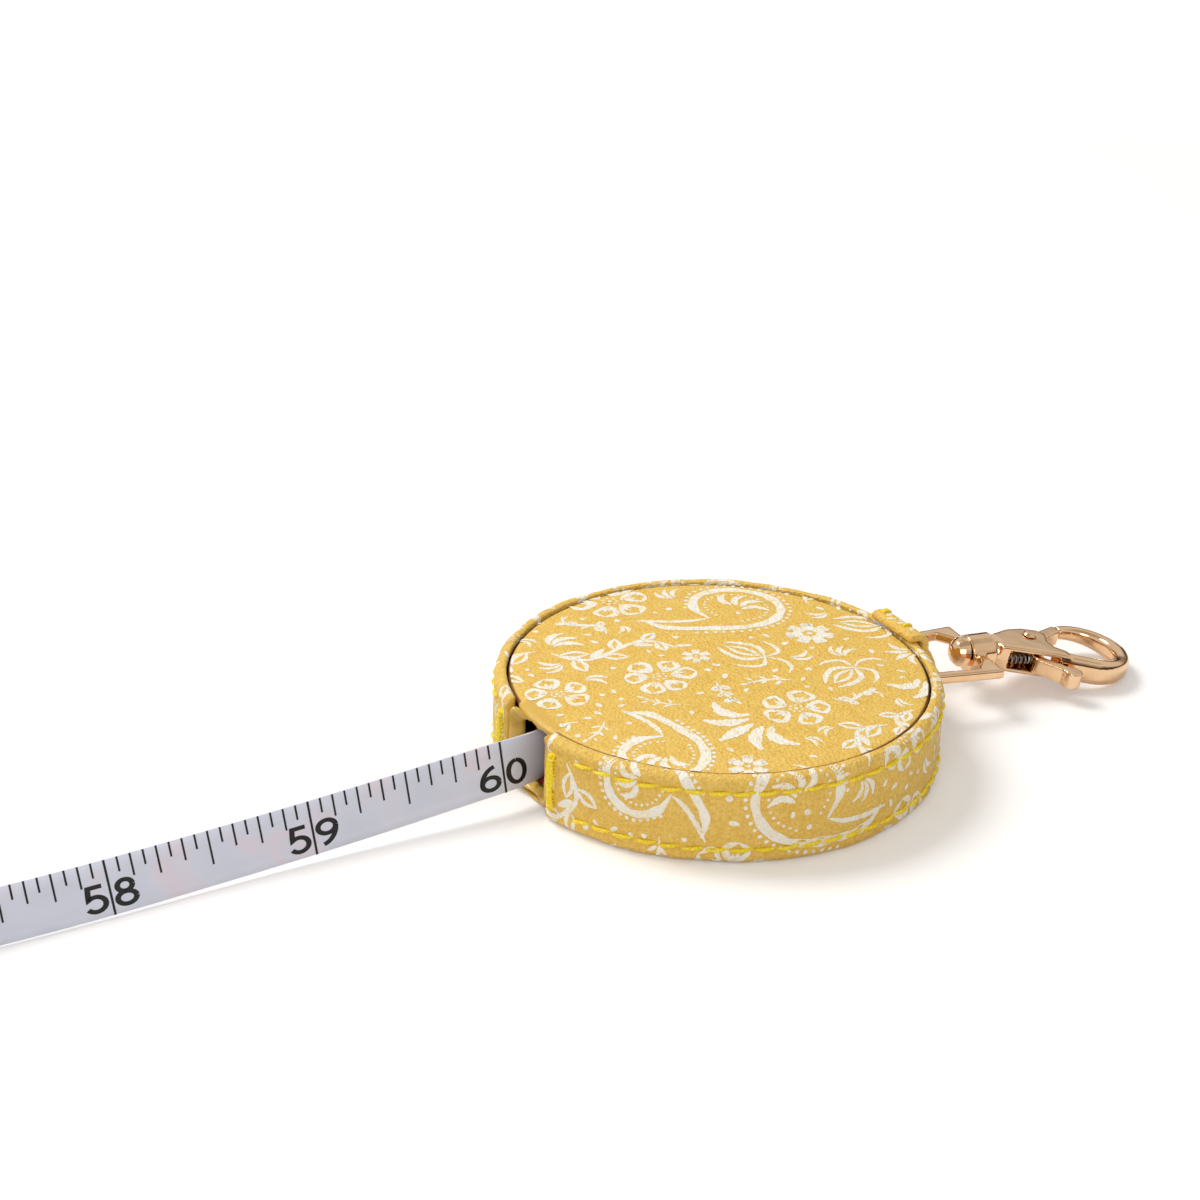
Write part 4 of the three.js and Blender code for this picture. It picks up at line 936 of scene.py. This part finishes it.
def band_stitches():
    marks = Print()
    dice = random.Random(7)
    for at in ROW_AT:
        first = math.ceil((band_end_length(1, at) + END_ROOM) / STITCH_PITCH)
        last = math.floor((band_end_length(0, at) - END_ROOM) / STITCH_PITCH)
        for k in range(first, last):
            start = k * STITCH_PITCH + STITCH_HOLE + dice.uniform(-STITCH_HOLE, STITCH_HOLE)
            end = (k + 1) * STITCH_PITCH - STITCH_HOLE + dice.uniform(-STITCH_HOLE, STITCH_HOLE)
            marks.put(*stitch(at, start, end, 0.25, 0.2, -0.3 + dice.uniform(-0.14, 0.14)))
    return marks


def bar_tack(share, sign):
    """A bar of thread from one row to the other at the band's end: strands, and stitches across them."""
    marks = Print()
    dice = random.Random(11 + share)
    for layer, (offset, radius) in enumerate(BAR_STRANDS):
        phase = dice.uniform(0, 6)
        points, radii = [], []
        for t in np.linspace(0, 1, 46):
            v = TOP_ROW - 0.25 + (BOTTOM_ROW - TOP_ROW + 0.5) * t
            wiggle = 0.1 * math.sin(9 * t + phase) + 0.05 * math.sin(31 * t + phase)
            ends = min(1, 8 * t, 8 * (1 - t))
            s = band_end_length(share, v) + sign * (offset + wiggle)
            points.append(on_band(s, v, -0.2 + 0.42 * ends + 0.05 * layer * ends))
            radii.append(radius * (0.55 + 0.45 * ends) * (0.95 + 0.16 * math.sin(23 * t + phase)))
        marks.put(*tube(points, radii))
    for k in range(BAR_STITCHES):
        v = TOP_ROW + (BOTTOM_ROW - TOP_ROW) * ((k + 0.5) / BAR_STITCHES)
        end = band_end_length(share, v)
        far = end + sign * (1.92 + dice.uniform(-0.1, 0.15))
        marks.put(*stitch(v, end + sign * 0.98, far, 0.2, 0.46, dice.uniform(-0.25, 0.25)))
    return marks


def on_strap(x, y, proud):
    """A point above the strap's upper side, in millimetres."""
    hit, normal = STRAP_SKIN.ray_cast(Vector((x, y, 20)) * MM, Vector((0, 0, -1)))[:2]
    return np.array(hit + normal * proud * MM) / MM


def strap_stitches():
    """Short stitches along the strap, where it is sewn to the band."""
    marks = Print()
    for y in (3.3, 2.95, -1.6):
        line = [on_strap(x, y + 0.12 * (x - 27.6), 0.12 * math.sin(math.pi * share))
                for share, x in ((0.02, 26.9), (0.2, 27.15), (0.5, 27.6), (0.8, 28.05), (0.98, 28.3))]
        marks.put(*tube(catmull(line, 4), 0.22))
    return marks


STRAP_SKIN = BVHTree.FromObject(STRAP, bpy.context.evaluated_depsgraph_get())
THREADS = {"strap_stitches": strap_stitches(), "band_stitches": band_stitches(),
           "bar_tack_near": bar_tack(1, 1), "bar_tack_far": bar_tack(0, -1)}
for name, marks in THREADS.items():
    add_mesh(name, marks.points, marks.faces, THREAD, "case")

# Printed pattern, an own generic scatter of bent drops and flowers. The eye is a drop's middle, in its size.
BRUSH_WEIGHT = 1.35
EYE = 0.42


def curve_through(points, step=0.35):
    return resample(catmull(points, 10), step)[0]


def turned(points, x, y, angle, size=1.0, flip=False):
    """Points in a new size, mirrored if flip, turned by the angle and moved to x, y."""
    points = np.asarray(points, float) * size
    if flip:
        points = points * (1, -1)
    c, s = math.cos(angle), math.sin(angle)
    return points @ np.array([[c, s], [-s, c]]) + (x, y)


def brush(points, width, taper):
    """A brush stroke as quads: thin where the brush lands and lifts, with a slightly ragged edge."""
    line = curve_through(points)
    share = np.linspace(0, 1, len(line))
    swell = np.minimum(1, np.minimum(share, 1 - share) / taper + 0.25)
    ragged = 1 + 0.13 * np.sin(share * 37 + width * 50 + line[0, 0]) + 0.09 * np.sin(share * 91 + line[0, 1])
    travel = unit(np.gradient(line, axis=0))
    side = np.stack([-travel[:, 1], travel[:, 0]], 1) * (BRUSH_WEIGHT * width / 2 * swell * ragged)[:, None]
    return np.stack([line - side, line, line + side], 1).reshape(-1, 2), grid_faces(len(line), 3)


def blob(outline):
    """A filled shape as rings round its middle, so that it drapes over the leather."""
    edge = resample(np.vstack([outline, outline[:1]]), 0.3)[0][:-1]
    middle = edge.mean(0)
    count = len(edge)
    faces = grid_faces(3, count, closed_columns=True)
    faces += [(2 * count + j, 2 * count + (j + 1) % count, 3 * count) for j in range(count)]
    return np.vstack([*(middle + (edge - middle) * share for share in (1, 0.66, 0.33)), middle]), faces


def oval(x, y, long, wide, angle):
    """An oval that is narrower at the end the angle points to."""
    turns = np.linspace(0, 2 * math.pi, 18, endpoint=False)
    shape = np.stack([long * np.cos(turns), wide * np.sin(turns) * (1 - 0.25 * np.cos(turns))], 1)
    return turned(shape, x, y, angle)


class Motif:
    """Strokes and filled shapes in the flat of the cloth, in millimetres."""

    def __init__(self):
        self.parts = []

    def stroke(self, points, width, taper):
        self.parts.append(brush(points, width, taper))

    def dot(self, x, y, radius):
        self.petal(x, y, radius, radius * 0.9, x)

    def petal(self, x, y, long, wide, angle):
        self.parts.append(blob(oval(x, y, long, wide, angle)))

    def placed(self, *where):
        return [(turned(spots, *where), faces) for spots, faces in self.parts]

    def footprint(self):
        return np.vstack([spots for spots, _ in self.parts])


def daisy(petals, radius):
    """A small filled flower with notched petals and a ring of bare cloth round its eye."""
    m = Motif()
    for k in range(petals):
        a = 2 * math.pi * k / petals
        m.petal(*polar(0.62 * radius, a), 0.36 * radius, 0.25 * radius, a)
        for side in (-0.17, 0.17):
            m.petal(*polar(0.86 * radius, a + side), 0.15 * radius, 0.13 * radius, a)
    m.dot(0, 0, 0.13 * radius)
    return m


def open_flower(petals, radius):
    """A large flower: outlined petals with brush lines inside and a dotted eye."""
    m = Motif()
    wide = math.pi / petals
    for k in range(petals):
        a = 2 * math.pi * k / petals + 0.12 * (k % 2)
        tip = radius * (1.0 if k % 2 else 0.92)
        for line, width, taper in (
                (((0.3, 0), (0.5, -0.55), (0.82, -0.62), (1.0, 0.0)), 0.6, 0.3),
                (((1.0, 0.0), (0.84, 0.66), (0.52, 0.5), (0.32, 0.1)), 0.45, 0.3),
                (((0.36, -0.1), (0.62, -0.2)), 0.4, 0.5), (((0.36, 0.15), (0.72, 0.16)), 0.36, 0.5)):
            m.stroke([polar(r * tip, a + turn * wide) for r, turn in line], width, taper)
    for k in range(7):
        m.dot(*polar(0.17 * radius, 2 * math.pi * k / 7), 0.24)
    m.dot(0, 0, 0.3)
    return m


def leaf(m, x, y, reach, angle, bends, width, filled):
    """A leaf from its root at x, y: filled, or two strokes that bow apart and meet at its tip."""
    if filled:
        m.petal(*polar(filled * reach, angle, x, y), reach * 0.42, reach * 0.15, angle)
        return
    for bend in bends:
        m.stroke([(x, y), polar(0.55 * reach, angle + bend, x, y), polar(reach, angle, x, y)], width, 0.4)


def sprig(length, pairs, filled):
    """A bent stem with leaves in pairs, outlined or filled."""
    m = Motif()
    stem = [(0, 0), (0.35 * length, 0.06 * length), (0.7 * length, 0.02 * length), (length, -0.1 * length)]
    m.stroke(stem, 0.42, 0.5)
    for k in range(pairs):
        x = length * (0.22 + 0.62 * k / (pairs - 1))
        y = 0.05 * length * math.sin(math.pi * x / length)
        reach = length * (0.3 - 0.035 * k)
        for side in (-1, 1):
            leaf(m, x, y, reach, side * (0.85 - 0.08 * k), (-0.36, 0.33), 0.4, 0.58 if filled else 0)
    tip = length * 0.22
    m.petal(length + 0.4 * tip, -0.12 * length, tip * 0.5, tip * 0.22, -0.2)
    return m


# The drop's outline from its point round and into its tail, which is the last three points, in a size of 1
DROP = np.array([(0, 0), (-0.32, 0.1), (-0.52, 0.4), (-0.42, 0.78), (-0.02, 0.98), (0.36, 0.84), (0.52, 0.5),
                 (0.44, 0.12), (0.16, -0.3), (-0.2, -0.62), (-0.52, -0.66)])


def teardrop(size):
    """A bent drop, the old woven-shawl shape, with an inner line, combed brush strokes and a row of dots."""
    centre = np.array([0.0, 0.45])

    def drop(scale):
        scales = np.array([scale] * 8 + [scale * 0.94] * 3)[:, None]
        return (DROP - centre) * scales * size + centre * size

    m = Motif()
    m.stroke(drop(1.0), 0.85, 0.12)
    m.stroke(np.array([(-0.52, -0.66), (-0.3, -0.46), (-0.1, -0.22), (0, 0)]) * size, 0.5, 0.3)
    for line, step, radius in ((drop(0.72)[:8], 0.085, 0.24), (drop(1.2)[1:9], 0.105, 0.3)):
        for x, y in curve_through(line, size * step):
            m.dot(x, y, radius)
    for k in range(4):
        a = 2.5 - 0.62 * k
        line = [polar(r, a + bend, 0, EYE) for r, bend in ((0.1, 0), (0.26, 0.35), (0.4, 0.1))]
        m.stroke(np.array(line) * size, 0.62, 0.3)
    return m


def commas(count, size):
    """A fan of comma strokes."""
    m = Motif()
    for k in range(count):
        line = [(0.2 + x, y) for x, y in ((0, 0), (0.35, 0.12), (0.7, 0.02), (0.95, -0.22))]
        m.stroke(turned(line, 0, 0, 0.5 * (k - (count - 1) / 2), size), 0.2 * size, 0.65)
    return m


def tulip(size):
    """A half-open flower on a curled stem."""
    m = Motif()
    for side in (-1, 1):
        for line, width, taper in (
                (((0, 0), (0.28, 0.3), (0.62, 0.3), (0.98, 0.14)), 0.62, 0.3),
                (((0.08, 0), (0.5, 0.12), (0.86, 0)), 0.45, 0.4),
                (((0, 0), (-0.12, 0.34), (0.1, 0.56), (0.38, 0.62)), 0.5, 0.4)):
            m.stroke(np.array(line) * (1, side) * size, width, taper)
    m.stroke(np.array([(0, 0), (-0.35, 0.05), (-0.62, -0.12), (-0.7, -0.42)]) * size, 0.45, 0.5)
    return m


def vine(length, leaves):
    """A stem that swings one way and back, with leaves to each side in turn, every third one filled."""
    m = Motif()
    swing = 0.15

    def at(t):
        return length * t, swing * length * math.sin(2 * math.pi * t)

    m.stroke([at(t) for t in np.linspace(0, 1, 8)], 0.5, 0.3)
    for k in range(leaves):
        t = (k + 0.5) / leaves
        side = 1 if k % 2 else -1
        angle = math.atan2(swing * 2 * math.pi * math.cos(2 * math.pi * t), 1) + side * 0.75
        reach = length * 0.21 * (1.2 - 0.45 * t)
        leaf(m, *at(t), reach, angle, (-0.36, 0.34), 0.42, 0.6 if k % 3 == 2 else 0)
    return m


def plume(size, strokes):
    """Long full brush strokes that spread from one root."""
    m = Motif()
    for k in range(strokes):
        spread = k - (strokes - 1) / 2
        reach = size * (1 - 0.08 * abs(spread))
        m.stroke([polar(r * reach, 0.5 * spread + bend * spread)
                  for r, bend in ((0.3, 0.0), (0.55, -0.08), (0.8, 0.0), (1.0, 0.14))], 0.15 * size, 0.6)
    return m


LARGE = [teardrop(10.5), vine(15, 9), open_flower(6, 5.2), plume(8.5, 5), teardrop(9.0), vine(12, 8),
         open_flower(5, 4.6), tulip(7.0)]
MIDDLE = [sprig(7.2, 3, False), plume(5.6, 4), daisy(6, 2.6), sprig(6.4, 3, True), commas(3, 4.2),
          vine(8.5, 6), daisy(7, 2.9)]
SMALL = [daisy(5, 1.9), commas(3, 3.0), daisy(6, 2.1), commas(2, 2.6)]
SPECKS = [Motif(), Motif()]
SPECKS[0].dot(0, 0, 0.42)
SPECKS[1].petal(0, 0, 0.62, 0.32, 0)
# Motifs, tries, room between them in millimetres, smallest and largest size
LAYERS = [(LARGE, 1500, 0.35, (0.9, 1.1)), (MIDDLE, 7000, 0.33, (0.75, 1.2)),
          (SMALL, 2500, 0.4, (0.85, 1.2)), (SPECKS, 1200, 0.6, (0.8, 1.15))]


class Cloth:
    """Lays motifs on a flat cloth without letting them touch; wrap is the length after which it repeats."""

    CELL = 0.3
    OVERHANG = 1.5

    def __init__(self, low, high, inside, wrap=None):
        self.low, self.high, self.inside, self.wrap = np.array(low), np.array(high), inside, wrap
        self.taken = np.zeros(np.ceil((self.high - self.low) / self.CELL).astype(int) + 1, bool)
        self.parts = []

    def cells(self, spots):
        if self.wrap:
            spots[:, 0] = (spots[:, 0] - self.low[0]) % self.wrap + self.low[0]
        index = np.floor((spots - self.low) / self.CELL).astype(int)
        return index[np.all((index >= 0) & (index < self.taken.shape), axis=1)]

    def free(self, index, room):
        reach = int(math.ceil(room / self.CELL))
        for dx in (-reach, 0, reach):
            for dy in (-reach, 0, reach):
                moved = np.clip(index + (dx, dy), 0, np.array(self.taken.shape) - 1)
                if self.taken[moved[:, 0], moved[:, 1]].any():
                    return False
        return len(index) > 0

    def scatter(self, motifs, tries, room, dice, sizes):
        footprints = [motif.footprint() for motif in motifs]
        for k in range(tries):
            x, y = (dice.uniform(a, b) for a, b in zip(self.low, self.high))
            if not self.inside(x, y, self.OVERHANG):
                continue
            where = (x, y, dice.uniform(0, 2 * math.pi), dice.uniform(*sizes), dice.random() < 0.5)
            index = self.cells(turned(footprints[k % len(motifs)], *where))
            if self.free(index, room):
                self.taken[index[:, 0], index[:, 1]] = True
                self.parts += motifs[k % len(motifs)].placed(*where)


def cloth_print(seed, cloth, clamp, lift):
    """Motifs laid on the cloth, then the cloth on the leather, where the last ones stop at the seam."""
    dice = random.Random(seed)
    for motifs, tries, room, sizes in LAYERS:
        cloth.scatter(motifs, tries, room, dice, sizes)
    marks = Print()
    for spots, faces in cloth.parts:
        keep = [f for f in faces if any(cloth.inside(*spots[i]) for i in f)]
        if not keep:
            continue
        used = sorted({i for f in keep for i in f})
        order = {old: new for new, old in enumerate(used)}
        flat = np.array([clamp(*spots[i]) for i in used])
        marks.put(lift(flat), [tuple(order[i] for i in f) for f in keep])
    return marks


# Room between the print and the seams, and the bare leather beside the slot
FACE_ROOM = 0.22
BAND_ROOM = 0.25
BARE_X = -24.6
BARE_HALF = 6.2


def face_print(seed, underside):
    edge = COVER_RADIUS - FACE_ROOM

    def inside(x, y, slack=0.0):
        bare = x <= BARE_X and abs(y) <= BARE_HALF - 0.4 * math.sin(x * 3)
        return math.hypot(x, y) < edge + slack and (slack > 0 or not bare)

    def clamp(x, y):
        far = math.hypot(x, y)
        return (x, y) if far < edge else (x * edge / far, y * edge / far)

    def lift(flat):
        x, y = flat.T
        seam = 0.02 * smooth(edge - 2.6, edge, np.hypot(x, y))
        return np.stack([x, y, np.full(len(x), -INK) if underside else crown_height(x, y) + INK - seam], 1)

    return cloth_print(seed, Cloth((-27, -27), (27, 27), inside), clamp, lift)


def band_print(seed):
    round_length = 2 * math.pi * CASE_RADIUS

    def inside(s, v, slack=0.0):
        turn = (s / round_length) % 1.0 * 2 * math.pi
        clear = abs(CASE_RADIUS * math.sin(turn)) > SLOT_HALF + 0.8 or math.cos(turn) > 0
        return -slack < v - BAND_ROOM < BAND_LENGTH - 2 * BAND_ROOM + slack and clear

    def clamp(s, v):
        return s, min(max(v, BAND_ROOM), BAND_LENGTH - BAND_ROOM)

    def lift(flat):
        angle = flat[:, 0] / CASE_RADIUS
        return on_band(np.arctan2(np.sin(angle), np.cos(angle)) * CASE_RADIUS, flat[:, 1], INK)

    low, high = (-round_length / 2, 0.0), (round_length / 2, BAND_LENGTH)
    return cloth_print(seed, Cloth(low, high, inside, round_length), clamp, lift)


# Drops of print on the strap, as x, y and turn
STRAP_DROPS = [(27.5, 2.1, 0.5), (27.0, 0.9, -0.6), (28.0, 0.3, 0.9), (27.4, -0.7, -0.3), (27.6, -2.7, 0.6)]


def strap_print():
    marks = Print()
    for x, y, angle in STRAP_DROPS:
        spots, faces = blob(oval(x, y, 0.75, 0.26, angle))
        marks.put([on_strap(a, b, INK) for a, b in spots], faces)
    return marks


PRINTS = {"print_on_top_cover": face_print(5, False), "print_on_bottom_cover": face_print(9, True),
          "print_on_side_band": band_print(3), "print_on_strap": strap_print()}
for name, marks in PRINTS.items():
    add_mesh(name, marks.points, marks.faces, WHITE_INK, "case", "leather")

# Materials of the pieces that keep their CAD shape
for node, material in {
        "tape_wraps": TAPE, "top_pad": FOAM, "upper_shell": RED_ABS, "lower_shell": RED_ABS,
        "push_button": RED_ABS, "spool": NYLON, "brake_washer": RUBBER, "mainspring": STEEL,
        "tape_end_tab": STEEL, "tape_tab_rivet": STEEL}.items():
    data = bpy.data.objects[node].data
    data.materials.clear()
    data.materials.append(material)

# Floor, world and lamps, in metres
FLOOR_HALF = 3.0
FLOOR_GLOW = 0.13
WORLD_LIGHT = 0.7


def make_floor():
    """White paper that glows a little to the camera, more so far from the object, and keeps its shadow."""
    data = bpy.data.meshes.new("white_sweep")
    corners = [(x * FLOOR_HALF, y * FLOOR_HALF, 0) for x, y in ((-1, -1), (1, -1), (1, 1), (-1, 1))]
    data.from_pydata(corners, [], [(0, 1, 2, 3)])
    floor = new_object("white_sweep", data)
    floor.location.z = -0.05 * MM
    material, tree, shader = new_material("matt_white_paper", Roughness=0.9, Specular_IOR_Level=0.1,
                                          Base_Color=linear("#f4f2f0"), Emission_Color=(1, 1, 1, 1))
    away = add(tree, "ShaderNodeVectorMath", {"operation": "LENGTH"}, i0=place(tree)).outputs["Value"]
    far = mapped(tree, away, From_Min=0.3, From_Max=0.8, To_Min=FLOOR_GLOW, To_Max=1.0)
    seen = add(tree, "ShaderNodeLightPath").outputs["Is Camera Ray"]
    glow = add(tree, "ShaderNodeMath", {"operation": "MULTIPLY"}, i0=seen, i1=far).outputs[0]
    fill(tree, shader, {"Emission_Strength": glow})
    data.materials.append(material)


def make_world():
    """White to the camera; to everything else a white studio, dark near the ground and dimmer on top."""
    world = bpy.data.worlds.new("studio")
    bpy.context.scene.world = world
    world.use_nodes = True
    tree = world.node_tree
    where = add(tree, "ShaderNodeTexCoord").outputs["Generated"]
    height = add(tree, "ShaderNodeSeparateXYZ", Vector=where).outputs["Z"]
    colour = ramp(tree, height, (0.0, "#3a2c22"), (0.13, "#4d3d31"), (0.26, "#bdb6ae"), (0.38, "#ffffff"),
                  (0.74, "#ffffff"), (0.9, "#cbc7c3"))
    seen = add(tree, "ShaderNodeLightPath").outputs["Is Camera Ray"]
    strength = mapped(tree, seen, To_Min=WORLD_LIGHT, To_Max=1.0)
    colour = mixed(tree, seen, colour, "#ffffff")
    fill(tree, tree.nodes["Background"], {"Color": colour, "Strength": strength})


def area_lamp(name, at, size, power):
    """A round lamp that looks at the object."""
    data = bpy.data.lights.new(name, "AREA")
    data.shape = "DISK"
    data.size = size
    data.energy = power
    lamp = new_object(name, data)
    lamp.location = at
    lamp.rotation_euler = (-Vector(at)).to_track_quat("-Z", "Y").to_euler()


make_floor()
make_world()
area_lamp("window_lamp", at=(-0.27, 0.45, 0.72), size=0.42, power=4.6)
area_lamp("front_fill", at=(-0.5, -0.6, 0.5), size=0.5, power=1.6)
bpy.context.scene.view_settings.view_transform = "Standard"
